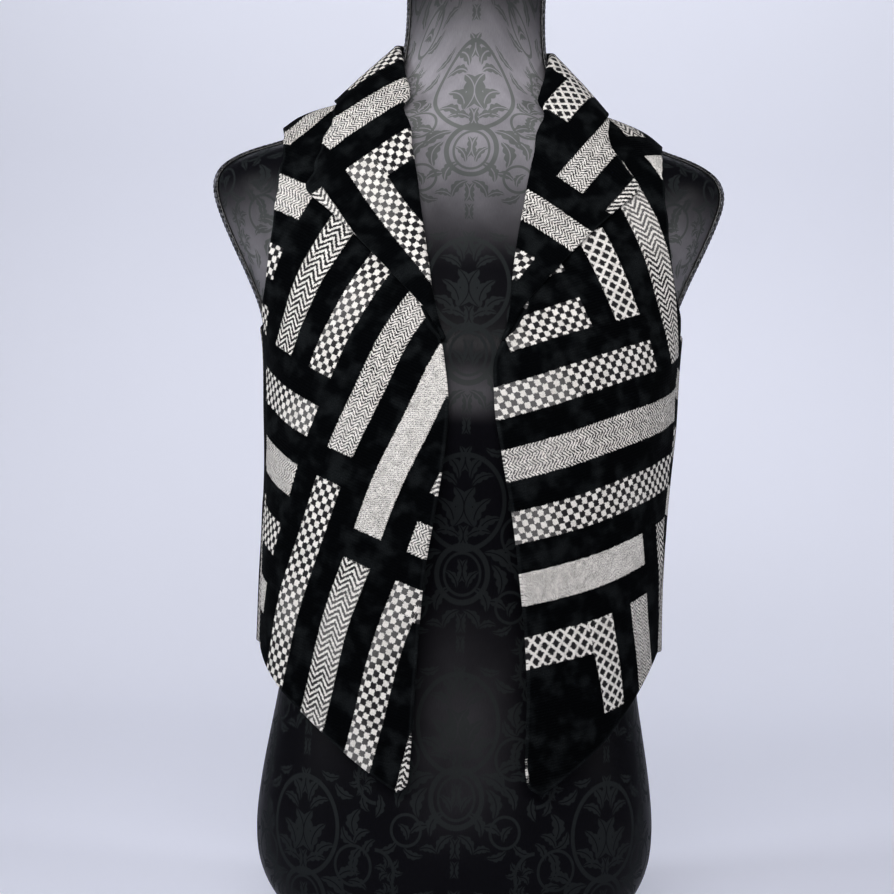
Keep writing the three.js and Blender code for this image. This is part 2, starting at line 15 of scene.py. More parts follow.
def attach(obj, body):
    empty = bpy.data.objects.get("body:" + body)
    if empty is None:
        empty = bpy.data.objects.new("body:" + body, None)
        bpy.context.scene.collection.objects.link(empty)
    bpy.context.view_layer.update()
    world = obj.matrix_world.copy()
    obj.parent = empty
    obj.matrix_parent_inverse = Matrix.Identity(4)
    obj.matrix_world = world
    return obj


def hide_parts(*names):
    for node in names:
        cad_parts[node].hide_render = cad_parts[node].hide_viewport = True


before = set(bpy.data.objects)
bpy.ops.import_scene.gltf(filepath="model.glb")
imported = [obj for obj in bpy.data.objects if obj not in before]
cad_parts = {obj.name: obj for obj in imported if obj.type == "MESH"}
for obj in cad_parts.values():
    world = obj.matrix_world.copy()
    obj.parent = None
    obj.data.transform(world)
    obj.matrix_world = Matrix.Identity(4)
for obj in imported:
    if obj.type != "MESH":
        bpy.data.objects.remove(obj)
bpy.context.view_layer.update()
MM = 0.001

# %% [markdown]
# ## Camera
# The photograph was taken square on, at the height of the form's waist, from about a metre and
# a half, and the picture leans by a degree and a half. A long lens keeps the form's shoulders
# and hips in proportion. The camera comes first, because every later choice is judged through it.

# %% Camera
CAMERA_BACK, CAMERA_X, CAMERA_Z = 1.5, -0.0115, 0.372
CAMERA_ROLL = math.radians(1.54)
MIDDLE_Y = 0.0031
VIEW_WIDTH = 0.6973  # how much of the form's middle plane the picture spans
SENSOR = 36


def linked(name, data):
    """A new object with the given data, in the scene."""
    thing = bpy.data.objects.new(name, data)
    bpy.context.scene.collection.objects.link(thing)
    return thing


camera_data = bpy.data.cameras.new("camera")
camera_data.sensor_width = SENSOR
camera_data.lens = SENSOR * CAMERA_BACK / VIEW_WIDTH
camera = linked("camera", camera_data)
camera.matrix_world = (
    Matrix.Translation((CAMERA_X, MIDDLE_Y - CAMERA_BACK, CAMERA_Z))
    @ Matrix.Rotation(math.radians(90), 4, "X")
    @ Matrix.Rotation(CAMERA_ROLL, 4, "Z")
)
bpy.context.scene.camera = camera
print("lens", round(camera_data.lens, 1), "mm")

# %% [markdown]
# ## Writing materials in a few words
# The cloth needs some hundreds of shader nodes. A shader value that knows its node tree can be
# written in plain sums, where each sign adds one Math node, and a group is a plain function of
# its inputs. That keeps the recipes below short enough to read like sentences.

# %% Shader helpers
class Value:
    """A shader value. Every sign between it and another adds one Math node."""

    def __init__(self, socket):
        self.socket, self.tree = socket, socket.id_data

    def __add__(self, other):
        return calc("ADD", self, other)

    def __sub__(self, other):
        return calc("SUBTRACT", self, other)

    def __rsub__(self, other):
        return calc("SUBTRACT", other, self)

    def __mul__(self, other):
        return calc("MULTIPLY", self, other)

    def __truediv__(self, other):
        return calc("DIVIDE", self, other)

    __radd__, __rmul__ = __add__, __mul__


def wire(socket, value):
    """Links a shader value into a socket, or sets a plain number or colour on it."""
    if isinstance(value, Value):
        value.tree.links.new(value.socket, socket)
    else:
        socket.default_value = value


def add_node(kind, *values, **settings):
    """Adds a node beside the first shader value and wires the values to its first inputs."""
    tree = next(value.tree for value in values if isinstance(value, Value))
    node = tree.nodes.new(kind)
    for name, setting in settings.items():
        setattr(node, name, setting)
    for socket, value in zip(node.inputs, values):
        wire(socket, value)
    return node


def calc(operation, *values):
    return Value(add_node("ShaderNodeMath", *values, operation=operation).outputs[0])


def wave(place, length):
    return calc("SINE", place / length * (2 * math.pi))


def ramp(value, low, high, to_low=0.0, to_high=1.0):
    """A soft step from one value to another while the input goes from low to high."""
    given = (value, low, high, to_low, to_high)
    return Value(add_node("ShaderNodeMapRange", *given, interpolation_type="SMOOTHSTEP").outputs[0])


def blend(share, first, second):
    node = add_node("ShaderNodeMix", share, data_type="RGBA")
    for socket, colour in zip([s for s in node.inputs if s.type == "RGBA"], (first, second)):
        wire(socket, (*colour, 1) if isinstance(colour, tuple) else colour)
    return Value(next(s for s in node.outputs if s.type == "RGBA"))


def vector(*numbers):
    return Value(add_node("ShaderNodeCombineXYZ", *numbers).outputs[0])


def parted(place):
    """The three numbers of a vector."""
    return [Value(socket) for socket in add_node("ShaderNodeSeparateXYZ", place).outputs]


def noise(place, scale, detail=3.0, rough=0.55):
    node = add_node("ShaderNodeTexNoise", place)
    for label, amount in (("Scale", scale), ("Detail", detail), ("Roughness", rough)):
        node.inputs[label].default_value = amount
    return Value(node.outputs["Fac"])


def shader_group(name, inputs, outputs, recipe):
    """A node group whose outputs are what a plain function makes of its inputs."""
    tree = bpy.data.node_groups.new(name, "ShaderNodeTree")
    for label in inputs:
        tree.interface.new_socket(label, in_out="INPUT", socket_type="NodeSocketFloat")
    for label in outputs:
        kind = "NodeSocketColor" if "Colour" in label else "NodeSocketFloat"
        tree.interface.new_socket(label, in_out="OUTPUT", socket_type=kind)
    given = tree.nodes.new("NodeGroupInput").outputs
    made = recipe(*[Value(given[label]) for label in inputs])
    result = tree.nodes.new("NodeGroupOutput").inputs
    for label, value in zip(outputs, made if isinstance(made, tuple) else (made,)):
        wire(result[label], value)
    return tree


def use(group, *values):
    """Places a group; gives back its one output, or all of them."""
    node = add_node("ShaderNodeGroup", *values, node_tree=group)
    outputs = [Value(socket) for socket in node.outputs]
    return outputs if len(outputs) > 1 else outputs[0]


def cut_position(tree):
    """The place in the flat cut piece, in millimetres."""
    uv = tree.nodes.new("ShaderNodeUVMap")
    uv.uv_map = "cloth"
    u, v, _ = parted(Value(uv.outputs[0]))
    return u * 1000.0, v * 1000.0


def object_position(tree):
    return Value(tree.nodes.new("ShaderNodeTexCoord").outputs["Object"])


def new_material(name, **settings):
    """A material by name, with some of its shader's plain numbers set."""
    paint = bpy.data.materials.get(name) or bpy.data.materials.new(name)
    paint.use_nodes = True
    shader = paint.node_tree.nodes["Principled BSDF"]
    for label, value in settings.items():
        shader.inputs[label.replace("_", " ")].default_value = value
    return paint, paint.node_tree, shader


print("shader helpers ready")

# %% [markdown]
# ## Floor and light
# The form stands on a plain pale floor that sweeps up into a wall, so that no edge shows behind
# it. A long soft strip above the camera lights the front, two weaker lights open the sides and
# one more brightens the wall. Black velvet needs a dim room and the photograph has a bright
# backdrop, so floor and world are brighter for the camera than for all other light.

# %% Floor and light
SWEEP_STEPS = 12
BACKDROP = (0.735, 0.755, 0.86, 1)
ROOM_LIGHT, BACKDROP_GLOW = 0.10, 0.76
FLOOR_GLOW = 0.3
FLOOR_REACH, SWEEP_START, SWEEP_RADIUS, WALL_TOP, HALF_FLOOR = -3.2, 1.1, 0.9, 3.2, 3.5


def new_object(name, vertices, faces, edges=()):
    mesh = bpy.data.meshes.new(name)
    mesh.from_pydata([tuple(v) for v in vertices], edges, [tuple(f) for f in faces])
    mesh.update()
    mesh.polygons.foreach_set("use_smooth", [True] * len(faces))
    return linked(name, mesh)


def for_camera(socket, hidden, seen):
    """Gives a socket one value for the camera and another for all other light."""
    path = socket.id_data.nodes.new("ShaderNodeLightPath")
    wire(socket, Value(path.outputs["Is Camera Ray"]) * (seen - hidden) + hidden)


def open_behind(shader):
    """Leaves the wall's far side clear, so that the vest can be seen from behind it."""
    nodes = shader.id_data.nodes
    behind = Value(nodes.new("ShaderNodeNewGeometry").outputs["Backfacing"])
    clear = Value(nodes.new("ShaderNodeBsdfTransparent").outputs[0])
    either = add_node("ShaderNodeMixShader", behind, Value(shader.outputs[0]), clear)
    wire(nodes["Material Output"].inputs["Surface"], Value(either.outputs[0]))


def make_floor():
    line = [(FLOOR_REACH, 0.0), (-1.0, 0.0), (0.0, 0.0), (SWEEP_START, 0.0)]
    for step in range(1, SWEEP_STEPS + 1):
        turn = math.radians(90 * step / SWEEP_STEPS)
        rise = SWEEP_RADIUS - SWEEP_RADIUS * math.cos(turn)
        line.append((SWEEP_START + SWEEP_RADIUS * math.sin(turn), rise))
    line.append((SWEEP_START + SWEEP_RADIUS, WALL_TOP))
    vertices = [(x, y, z) for x in (-HALF_FLOOR, HALF_FLOOR) for y, z in line]
    count = len(line)
    faces = [(i, i + count, i + count + 1, i + 1) for i in range(count - 1)]
    floor = new_object("floor", vertices, faces)
    paint, _, shader = new_material(
        "floor_paint",
        Base_Color=BACKDROP,
        Roughness=0.9,
        Specular_IOR_Level=0.1,
        Emission_Color=BACKDROP,
    )
    for_camera(shader.inputs["Emission Strength"], 0.0, FLOOR_GLOW)
    open_behind(shader)
    floor.data.materials.append(paint)


def soft_light(name, place, target, size, watts, colour, spread):
    data = bpy.data.lights.new(name, "AREA")
    data.shape = "RECTANGLE"
    data.size, data.size_y = size
    data.energy, data.color, data.spread = watts, colour, math.radians(spread)
    lamp = linked(name, data)
    lamp.location = place
    lamp.rotation_euler = (Vector(target) - Vector(place)).to_track_quat("-Z", "Y").to_euler()


LIGHTS = [  # name, place, target, size, watts, colour, spread
    ("strip", (-0.2, -1.5, 1.0), (0, 0, 0.52), (1.7, 0.2), 5.4, (1.0, 0.985, 1.0), 70),
    ("left", (-1.6, -0.75, 1.0), (0, 0, 0.45), (0.4, 1.0), 2.9, (0.95, 0.97, 1.0), 70),
    ("right", (1.8, -0.6, 1.0), (0, 0, 0.45), (0.4, 1.0), 1.9, (0.97, 0.97, 1.0), 70),
    ("wall", (0.0, 1.15, 2.35), (0, 1.98, 1.3), (2.6, 0.5), 11.6, (1.0, 1.0, 0.98), 120),
]
make_floor()
for light in LIGHTS:
    soft_light(*light)
world = bpy.data.worlds.new("studio")
world.use_nodes = True
background = world.node_tree.nodes["Background"]
background.inputs["Color"].default_value = (0.84, 0.86, 0.96, 1)
for_camera(background.inputs["Strength"], ROOM_LIGHT, BACKDROP_GLOW)
bpy.context.scene.world = world
bpy.context.scene.view_settings.view_transform = "Standard"
print("floor and", len(LIGHTS), "lights")

# %% [markdown]
# ## The form's and the vest's rings
# A dress form is a stack of rounded rings. Each row says how high a ring is, half its width,
# its depth in front and behind, and how far it has slipped sideways. These are the same named
# sizes that the solids were made from, so the fine pieces here lie on their solids. The reading
# between the rows is smooth but never passes them, which keeps shoulders and hips from bulging.

# %% Rings
def rows_of(text):
    """Numbers written as text, one row on a line."""
    return np.array([line.split() for line in text.strip().splitlines()], float)


def table(names, text):
    return dict(zip(names.split(), rows_of(text).T))


FORM = table("z half front back shift", """
0 108 78 84 0
8 122 88 96 0
20 134 96 106 0
38 146 102 115 0
60 152.5 106 120 0
80 153.5 107 121 0
110 151 105 117 0
148 145 101 108 0
190 138 96 97 0
235 134 93 88 0
290 136 96 89 0
345 142 108 94 0
395 148.5 121 99 0
440 153 121 102 0
470 157 114 103 -0.3
487 163 108 103 -0.8
505 171 101 102 -1.2
530 183 92 99 -1.7
555 193.5 84 93 -2
571 198 79 87 -2
579 196.5 76 83.5 -2
585.5 191 73.5 80.5 -1.8
591 181 71 77.5 -1.4
597 166.5 68.5 74.5 -1
601.5 150.5 66 71.5 -0.6
605.5 140 64.5 70 -0.3
610.5 130 62.5 67.5 0
617 118 60 65 0
622.5 105 57.5 62.5 0
627 92 55.5 60 0
633 80 53.5 57.5 0
644.5 67 50.5 54.5 0
659 57 48 52 0
679 52.5 46.5 50.5 0
706 51 46 50 0
732 51.5 46.5 50.5 0
""")
VEST = table("z half front back shift", """
100 153.5 117 121 0
150 153.5 118 116 0
205 153.5 119.5 109 0
250 153.5 121 107 0
300 153.5 122.5 106.5 1
345 154.5 124 106 2.5
395 157.5 125 105.5 3.8
440 159.5 124 105.5 3.6
470 163.2 117 106 2.5
487 169 111 106 1.2
505 176.5 104 105.2 0.5
530 189 95.5 102.5 0
555 199 87.5 97 0
574 200 81.5 91 0
585 191 78 87.5 0
594 177 75 84.5 0
600 164 72.5 82 0
606 152.5 70.5 78.5 0
610 146.5 69 76 0
617.3 137 65.5 71 0
622 127.5 63.5 68.5 0
626 116 62 66.5 0
630 102.5 60.5 64.5 0
634 91 59 63 0
639.5 81.5 57.5 61 0
650 69.5 54.5 58 0
664 61 51.5 56 0
683 56.5 50 54 0
715 55.8 49.5 53.5 0
""")
RING_POWER = 2.2
SHIFT_X, SHIFT_Y = 2.0, 3.1  # the solids' own shift under the middle of their box


def read(rows, key, column, at):
    """One column of a table, read smoothly at any places along its key column."""
    keys, values = rows[key], rows[column]
    at = np.asarray(at, float)
    chord = np.diff(values) / np.diff(keys)
    slope = np.concatenate([chord[:1], np.zeros(len(chord) - 1), chord[-1:]])
    product = chord[:-1] * chord[1:]
    total = np.where(product > 0, chord[:-1] + chord[1:], 1)
    slope[1:-1] = np.where(product > 0, 2 * product / total, 0)
    i = np.clip(np.searchsorted(keys, at, side="left") - 1, 0, len(keys) - 2)
    span = keys[i + 1] - keys[i]
    t = np.clip((at - keys[i]) / span, 0, 1)
    return (
        (2 * t**3 - 3 * t**2 + 1) * values[i]
        + (t**3 - 2 * t**2 + t) * span * slope[i]
        + (3 * t**2 - 2 * t**3) * values[i + 1]
        + (t**3 - t**2) * span * slope[i + 1]
    )


def signed_power(v, power):
    return np.sign(v) * np.abs(v) ** power


def ring_point(rows, angle, z):
    """Points of the rings, by angle from the centre front and by height."""
    angle, z = np.broadcast_arrays(np.radians(angle), np.asarray(z, float))
    s, c = (signed_power(v, 2 / RING_POWER) for v in (np.sin(angle), np.cos(angle)))
    depth = np.where(c > 0, read(rows, "z", "front", z), read(rows, "z", "back", z))
    x = read(rows, "z", "shift", z) + read(rows, "z", "half", z) * s
    return np.stack([x, -depth * c, z], -1)


def angle_at(rows, x, z, behind=False):
    share = np.minimum(np.abs(x) / read(rows, "z", "half", z), 1)
    angle = np.degrees(np.arcsin(share ** (RING_POWER / 2)))
    return np.where(behind, 180 - angle, angle)


def level(rows, p):
    x, y, z = p[..., 0], p[..., 1], p[..., 2]
    across = np.abs(x - read(rows, "z", "shift", z)) / read(rows, "z", "half", z)
    depth = np.where(y < 0, read(rows, "z", "front", z), read(rows, "z", "back", z))
    through = np.abs(y) / depth
    return (across**RING_POWER + through**RING_POWER) ** (1 / RING_POWER) - 1


def from_rings(rows, p):
    """How far points are from the rings' surface, about, and the way out."""
    step = np.eye(3) * 0.5
    rise = np.stack([level(rows, p + s) - level(rows, p - s) for s in step], -1)
    steep = np.linalg.norm(rise, axis=-1, keepdims=True)
    return level(rows, p) / steep[..., 0], rise / steep


print("form", len(FORM["z"]), "rings, vest", len(VEST["z"]), "rings")

# %% [markdown]
# ## Folds
# Below the bust the vest hangs free, so it falls in a few broad soft folds. Each fold here is a
# bump on the ring at one angle that grows towards the hem. The large ones are in the solids as
# well. The small ones, uneven in width and depth, belong to this fine model alone: they pull
# from the underarm and the shoulder, and keep the cloth from looking like bent card.

# %% Folds
FOLDS = table("angle out width top", """
-62 3.2 13 400
-38 -2.2 12 330
30 2.2 13 300
58 -2.4 12 360
86 1 12 420
128 3.4 15 400
163 -2.8 14 380
196 3 15 400
231 -2.6 14 370
268 2 13 420
""")
FOLD_FULL = 190
# small pulls: angle and height of both ends, depth and half width
CREASES = table("angle z to_angle to_z out width", """
-70 452 -44 396 1.5 7
-74 436 -58 352 -1.1 6
-47 520 -30 470 0.9 8
72 455 48 402 1.4 7
76 430 62 340 -1.2 6
50 528 34 478 0.8 8
-84 330 -66 262 1.3 9
80 318 66 250 1.2 9
-30 250 -24 170 0.9 8
26 262 32 180 -0.9 8
112 470 138 420 1.6 9
248 470 222 420 1.6 9
150 600 168 560 1.2 10
210 600 192 560 1.2 10
125 350 140 260 -1.5 10
236 345 220 268 1.4 10
176 330 182 240 1.3 10
""")


def fold_out(angle, z):
    total = np.zeros(np.broadcast(angle, z).shape)
    for centre, out, width, top in zip(*(FOLDS[k] for k in ("angle", "out", "width", "top"))):
        turn = np.abs((angle - centre + 180) % 360 - 180)
        across = np.maximum(0, 1 - (turn / (1.6 * width)) ** 2) ** 2
        drop = np.clip((top - z) / (top - FOLD_FULL), 0, 1)
        total += out * across * drop * drop * (3 - 2 * drop)
    return total


def crease_out(angle, z):
    total = np.zeros(np.broadcast(angle, z).shape)
    around = 2.3  # millimetres of girth in a degree
    for row in zip(*CREASES.values()):
        a0, z0, a1, z1, out, width = row
        du, dv = (a1 - a0) * around, z1 - z0
        length = math.hypot(du, dv)
        u = ((angle - a0 + 180) % 360 - 180) * around
        along = (u * du + (z - z0) * dv) / length**2
        off = (u * dv - (z - z0) * du) / length
        ends = np.clip(1 - np.abs(2 * along - 1), 0, 1)
        wide = width * (1 + 0.8 * np.clip(along, 0, 1))
        total += out * np.exp(-((off / wide) ** 2)) * np.sqrt(ends)
    return total


def ripple(angle, z, amount):
    """A shallow unevenness that no woven cloth on a body is without."""
    a = np.radians(angle)
    wave = np.sin(5 * a + 0.021 * z) + 0.7 * np.sin(9 * a - 0.034 * z + 1.3)
    return amount * (wave + 0.5 * np.sin(14 * a + 0.05 * z + 2.1))


print("folds", len(FOLDS["angle"]), "creases", len(CREASES["angle"]))

# %% [markdown]
# ## Turning a grid into a piece of cloth
# Each panel is a grid of points on the cloth's middle surface. A closed shell is made by
# moving the grid half the cloth's thickness to both sides, and the two are joined by a rounded
# edge, because a turned velvet edge is soft and never square. The flat position of each point
# in the cut piece goes into a UV map, so that the weave follows the cloth and not the space.

# %% Cloth shells
CLOTH = 2.6
EDGE_STEPS = 3
SLIP, SHOULDER_X, SLIP_FOOT, SLIP_RISE = 3.5, 150, 480, 130


def unit(v):
    return v / np.maximum(np.linalg.norm(v, axis=-1, keepdims=True), 1e-9)


def grid_normals(middle):
    across = np.gradient(middle, axis=1)
    along = np.gradient(middle, axis=0)
    return unit(np.cross(across, along)), unit(across), unit(along)


def slipped(p):
    """The vest lies a little lower on the wearer's left shoulder."""
    t = np.clip((p[..., 2] - SLIP_FOOT) / SLIP_RISE, 0, 1)
    moved = p.copy()
    moved[..., 2] -= SLIP * p[..., 0] / SHOULDER_X * t * t * (3 - 2 * t)
    return moved


def in_frame(p):
    return (p + np.array([SHIFT_X, SHIFT_Y, 0])) * MM


def run_length(points, axis=0):
    """The length along lines of points, from each line's start to every point."""
    steps = np.linalg.norm(np.diff(points, axis=axis), axis=-1)
    return np.insert(np.cumsum(steps, axis), 0, 0, axis)


def perimeter(rows, columns):
    """The border of a grid as one loop of row and column numbers."""
    loop = [(0, c) for c in range(columns)]
    loop += [(r, columns - 1) for r in range(1, rows)]
    loop += [(rows - 1, c) for c in range(columns - 2, -1, -1)]
    return loop + [(r, 0) for r in range(rows - 2, 0, -1)]


def border_distance(middle):
    """Millimetres from each point to the nearest of the grid's four borders, along the cloth."""
    across, along = run_length(middle, 1), run_length(middle)
    sides = (across, across[:, -1:] - across, along, along[-1:] - along)
    return np.minimum.reduce(sides).ravel()


def signed_volume(points, faces):
    corner = [points[faces[:, i]] for i in range(3)]
    return float(np.einsum("ij,ij->", corner[0], np.cross(corner[1], corner[2])) / 6)


def mapped_piece(name, points, faces, corners):
    """A new piece on the root body, with the cut position of each face corner as its UV map."""
    piece = new_object(name, in_frame(points), faces)
    layer = piece.data.uv_layers.new(name="cloth")
    layer.data.foreach_set("uv", (corners * MM).ravel())
    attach(piece, "root")
    print(name, "faces", len(faces))
    return piece


def cloth_piece(name, middle, flat):
    """A closed shell round the middle surface, with rounded edges and a UV map of the cut."""
    rows, columns = middle.shape[:2]
    normal, across, along = grid_normals(middle)
    half = CLOTH / 2
    layers = [middle + normal * half, middle - normal * half]
    number = np.arange(rows * columns).reshape(rows, columns)
    a, b = number[:-1, :-1].ravel(), number[:-1, 1:].ravel()
    c, d = number[1:, 1:].ravel(), number[1:, :-1].ravel()
    faces = [np.stack([a, b, c, d], 1), np.stack([a, d, c, b], 1) + rows * columns]
    r, k = np.array(perimeter(rows, columns)).T
    border = lambda at, count: ((at == count - 1) * 1.0 - (at == 0) * 1.0)[:, None]
    out = across[r, k] * border(k, columns) + along[r, k] * border(r, rows)
    lean = normal[r, k]
    out = unit(out - lean * np.sum(out * lean, -1, keepdims=True))
    rings = [number[r, k]]
    points = [layer.reshape(-1, 3) for layer in layers]
    uvs = [flat.reshape(-1, 2), flat.reshape(-1, 2)]
    start = 2 * rows * columns
    for step in range(1, EDGE_STEPS + 1):
        turn = math.pi * step / (EDGE_STEPS + 1)
        points.append(middle[r, k] + half * (lean * math.cos(turn) + out * math.sin(turn)))
        uvs.append(flat[r, k])
        rings.append(start + np.arange(len(r)))
        start += len(r)
    for upper, lower in zip(rings, [*rings[1:], number[r, k] + rows * columns]):
        faces.append(np.stack([upper, lower, np.roll(lower, -1), np.roll(upper, -1)], 1))
    points = np.concatenate(points)
    faces = np.concatenate(faces)
    if signed_volume(points, np.concatenate([faces[:, :3], faces[:, [0, 2, 3]]])) < 0:
        faces = faces[:, ::-1]
    piece = mapped_piece(name, slipped(points), faces, np.concatenate(uvs)[faces.ravel()])
    # The distance to the nearest border, which the velvet uses for its painted edge highlight.
    near = np.concatenate([border_distance(middle)] * 2 + [np.zeros(start - 2 * rows * columns)])
    layer = piece.data.attributes.new("edge", "FLOAT", "POINT")
    layer.data.foreach_set("value", near.astype(np.float32))
    return piece


def girth(rows, angle, z, steps=48):
    """Length of the ring from the centre front to each point, along the cloth."""
    share = np.linspace(0, 1, steps)
    line = ring_point(rows, angle[..., None] * share, z[..., None])
    return np.sign(angle) * np.linalg.norm(np.diff(line, axis=-2), axis=-1).sum(-1)


def rise(rows, angle, z, base=200.0, steps=48):
    """Length of the profile at each point's angle, from a base height."""
    heights = base + (z[..., None] - base) * np.linspace(0, 1, steps)
    line = ring_point(rows, angle[..., None], heights)
    return np.sign(z - base) * np.linalg.norm(np.diff(line, axis=-2), axis=-1).sum(-1)


def flat_area(flat):
    """Area of a flattened grid, by its quads."""
    d1 = flat[1:, 1:] - flat[:-1, :-1]
    d2 = flat[1:, :-1] - flat[:-1, 1:]
    return float(np.abs(d1[..., 0] * d2[..., 1] - d1[..., 1] * d2[..., 0]).sum() / 2) * MM * MM


def relaxed(flat, shaped, pressing):
    """A flat layout eased until its lengths match the shaped cloth's, like pressing a pattern."""
    rows, columns = shaped.shape[:2]
    whole, first, last = slice(None), slice(0, -1), slice(1, None)
    pairs = [
        ((whole, first), (whole, last)),
        ((first, whole), (last, whole)),
        ((first, first), (last, last)),
        ((first, last), (last, first)),
    ]
    for every, times in pressing:
        r = np.unique(np.append(np.arange(0, rows, every), rows - 1))
        c = np.unique(np.append(np.arange(0, columns, every), columns - 1))
        paper, cloth = flat[np.ix_(r, c)].copy(), shaped[np.ix_(r, c)]
        lengths = [np.linalg.norm(cloth[b] - cloth[a], axis=-1, keepdims=True) for a, b in pairs]
        for _ in range(times):
            move = np.zeros_like(paper)
            for (a, b), length in zip(pairs, lengths):
                apart = paper[b] - paper[a]
                size = np.maximum(np.linalg.norm(apart, axis=-1, keepdims=True), 1e-6)
                pull = apart * (size - length) / size / 2
                move[a] += pull
                move[b] -= pull
            paper += move / 3
        flat = np.empty((rows, columns, 2))
        for axis in range(2):
            lines = [np.interp(np.arange(rows), r, line) for line in paper[..., axis].T]
            flat[..., axis] = [np.interp(np.arange(columns), c, row) for row in zip(*lines)]
    return flat


print("edge of", EDGE_STEPS + 2, "rounds on cloth", CLOTH, "mm thick")

# %% [markdown]
# ## The panels
# A maker cuts two fronts and a back. Each is described by its sections: where a section starts
# and ends, by height and by distance from the centre. The fronts run from the open front edge,
# which turns up into the hidden neck seam, to the side seam and the armhole. The sections are
# read smoothly in between, so one short table gives the curved hem, the rounded point and the
# armhole.

# %% Front and back sections
SIDE_SEAM, SIDE_GAP, SHOULDER_GAP = 75, 0.1, 0.2
FRONT = table("edge left right side across", """
123.5 60 42.5 221 0
129.5 52 36.5 226 0
150 49 34.5 240 0
190 49 33 262 0
235 46.5 31 290 0
285 40 28 322 0
325 33 23.5 352 0
365 24 19.5 386 0
400 17 18 418 0
430 15.5 21 442 0
448 21.5 24.5 462 0
458 31.5 32 472 157
478 41 40 488 153
508 48 47 510 149
542 53 52 536 145.5
574 58 57 562 142.5
592 60.5 60 577 141.5
608 64 64 589 141
620 67.5 67.5 597.5 141.5
630 71 71 603 142.5
638 74 74 607 143.5
641.5 75 75 608.4 144
645 74.2 74.2 609.7 144.5
649 0 0 611 0
""")
BACK = table("side across angle neck turn middle", """
221 0 0 214 128 212
240 0 0 233 128 231
262 0 0 254 128 252
290 0 0 281 128 279
322 0 0 312 128 309
352 0 0 341 128 338
386 0 0 373 128 369
418 0 0 403 128 398
442 0 0 428 128 423
462 0 0 448 129 443
457.5 0 81 454 130 450
455.5 0 88 459 131 455
457.5 0 94 465 132 461
463 0 99 472 133 469
473 0 103.5 482 134 480
488 161 0 498 135 497
509 154 0 520 136 520
535 148 0 547 137 548
560 144 0 574 137.5 576
584 141.5 0 601 136 603
599 141.5 0 622 131 625
607 143.5 0 638 117 642
611 0 0 649 90 653
""")


def spread(columns, count):
    """A table read again at many evenly spaced places between its rows."""
    last = len(next(iter(columns.values()))) - 1
    rows = {"i": np.arange(last + 1, dtype=float), **columns}
    at = np.linspace(0, last, count)
    return {name: read(rows, "i", name, at) for name in columns}


def between(rows, first, last, share):
    """Values that go from one column to another across each row."""
    return rows[first][:, None] + (rows[last] - rows[first])[:, None] * share


def front_sections(name):
    inner = angle_at(VEST, FRONT[name], FRONT["edge"])
    armhole = angle_at(VEST, FRONT["across"], FRONT["side"])
    outer = np.where(FRONT["across"] == 0, SIDE_SEAM - SIDE_GAP, armhole)
    inner[-1] = outer[-1] = 90 - SHOULDER_GAP
    return {"inner": inner, "inner_z": FRONT["edge"], "outer": outer, "outer_z": FRONT["side"]}


def back_sections():
    beside = angle_at(VEST, BACK["across"], BACK["side"], True)
    armhole = np.where(BACK["angle"] > 0, BACK["angle"], beside)
    outer = np.where(BACK["across"] + BACK["angle"] == 0, SIDE_SEAM + SIDE_GAP, armhole)
    turn = BACK["turn"].copy()
    outer[-1] = turn[-1] = 90 + SHOULDER_GAP
    return {
        "outer": outer,
        "outer_z": BACK["side"],
        "turn": turn,
        "turn_z": BACK["neck"],
        "middle_z": BACK["middle"],
    }


def hung(angle, z, out):
    """Points of the hanging cloth: on the vest's rings, moved out by folds and creases."""
    p = ring_point(VEST, angle, z)
    way = from_rings(VEST, p)[1]
    calm = np.clip((600 - z) / 60, 0.25, 1)
    loose = fold_out(angle, z) + crease_out(angle, z) * calm + ripple(angle, z, 0.22 * calm)
    return p + way * (out + loose)[..., None]


def flat_cut(angle, z):
    return np.stack([girth(VEST, angle, z), rise(VEST, angle, z)], -1)


print("sections", len(FRONT["edge"]), "and", len(BACK["side"]))

# %% [markdown]
# ## Cutting on a lean
# The cloth's bars lean on this vest: each front is cut with its grain turned, so that the bars
# fall towards the open front on both sides. The turn goes into the UV map. It grows a little
# towards the shoulder, as the photograph shows, where the cloth is drawn up by the armhole.

# %% Grain
def on_grain(flat, turn, more, start):
    """Flat positions in the cloth's own axes, turned by degrees, with more turn higher up."""
    u, v = flat[..., 0], flat[..., 1]
    lean = np.radians(turn + more * np.clip(v / 400, -0.3, 1.2))
    across = u * np.cos(lean) + v * np.sin(lean) + start[0]
    return np.stack([across, v * np.cos(lean) - u * np.sin(lean) + start[1]], -1)


SIDES = {"left": 1, "right": -1}
FRONT_GRAIN = {"left": (13, 9, (40, 96)), "right": (15, 12, (228, 150))}
FRONT_ROWS, FRONT_COLUMNS = 190, 64
BACK_ROWS, BACK_HALF_COLUMNS = 170, 56
EDGE_CURL, CURL_FOOT, CURL_TOP = 2.2, 118, 452  # how the open edges lift, between two heights
FRONT_PRESSING = [(3, 500)]  # how coarse the paper's grid is, and how often it is eased
BACK_PRESSING = [(14, 2500), (7, 1200), (3, 400)]
vest_pieces = {}
cut = {}


def front_piece(name):
    rows = spread(front_sections(name), FRONT_ROWS)
    share = np.linspace(0, 1, FRONT_COLUMNS)
    angle = between(rows, "inner", "outer", share)
    z = between(rows, "inner_z", "outer_z", share)
    below = np.clip((CURL_TOP - z) / 30, 0, 1) * np.clip((z - CURL_FOOT) / 40, 0, 1)
    curl = EDGE_CURL * np.exp(-((share * 14) ** 1.3)) * below
    middle = hung(SIDES[name] * angle, z, CLOTH / 2 + curl)
    flat = relaxed(flat_cut(angle, z), middle, FRONT_PRESSING)
    cut[f"vest_front_{name}"] = flat
    return cloth_piece(f"vest_front_{name}_cloth", middle, on_grain(flat, *FRONT_GRAIN[name]))


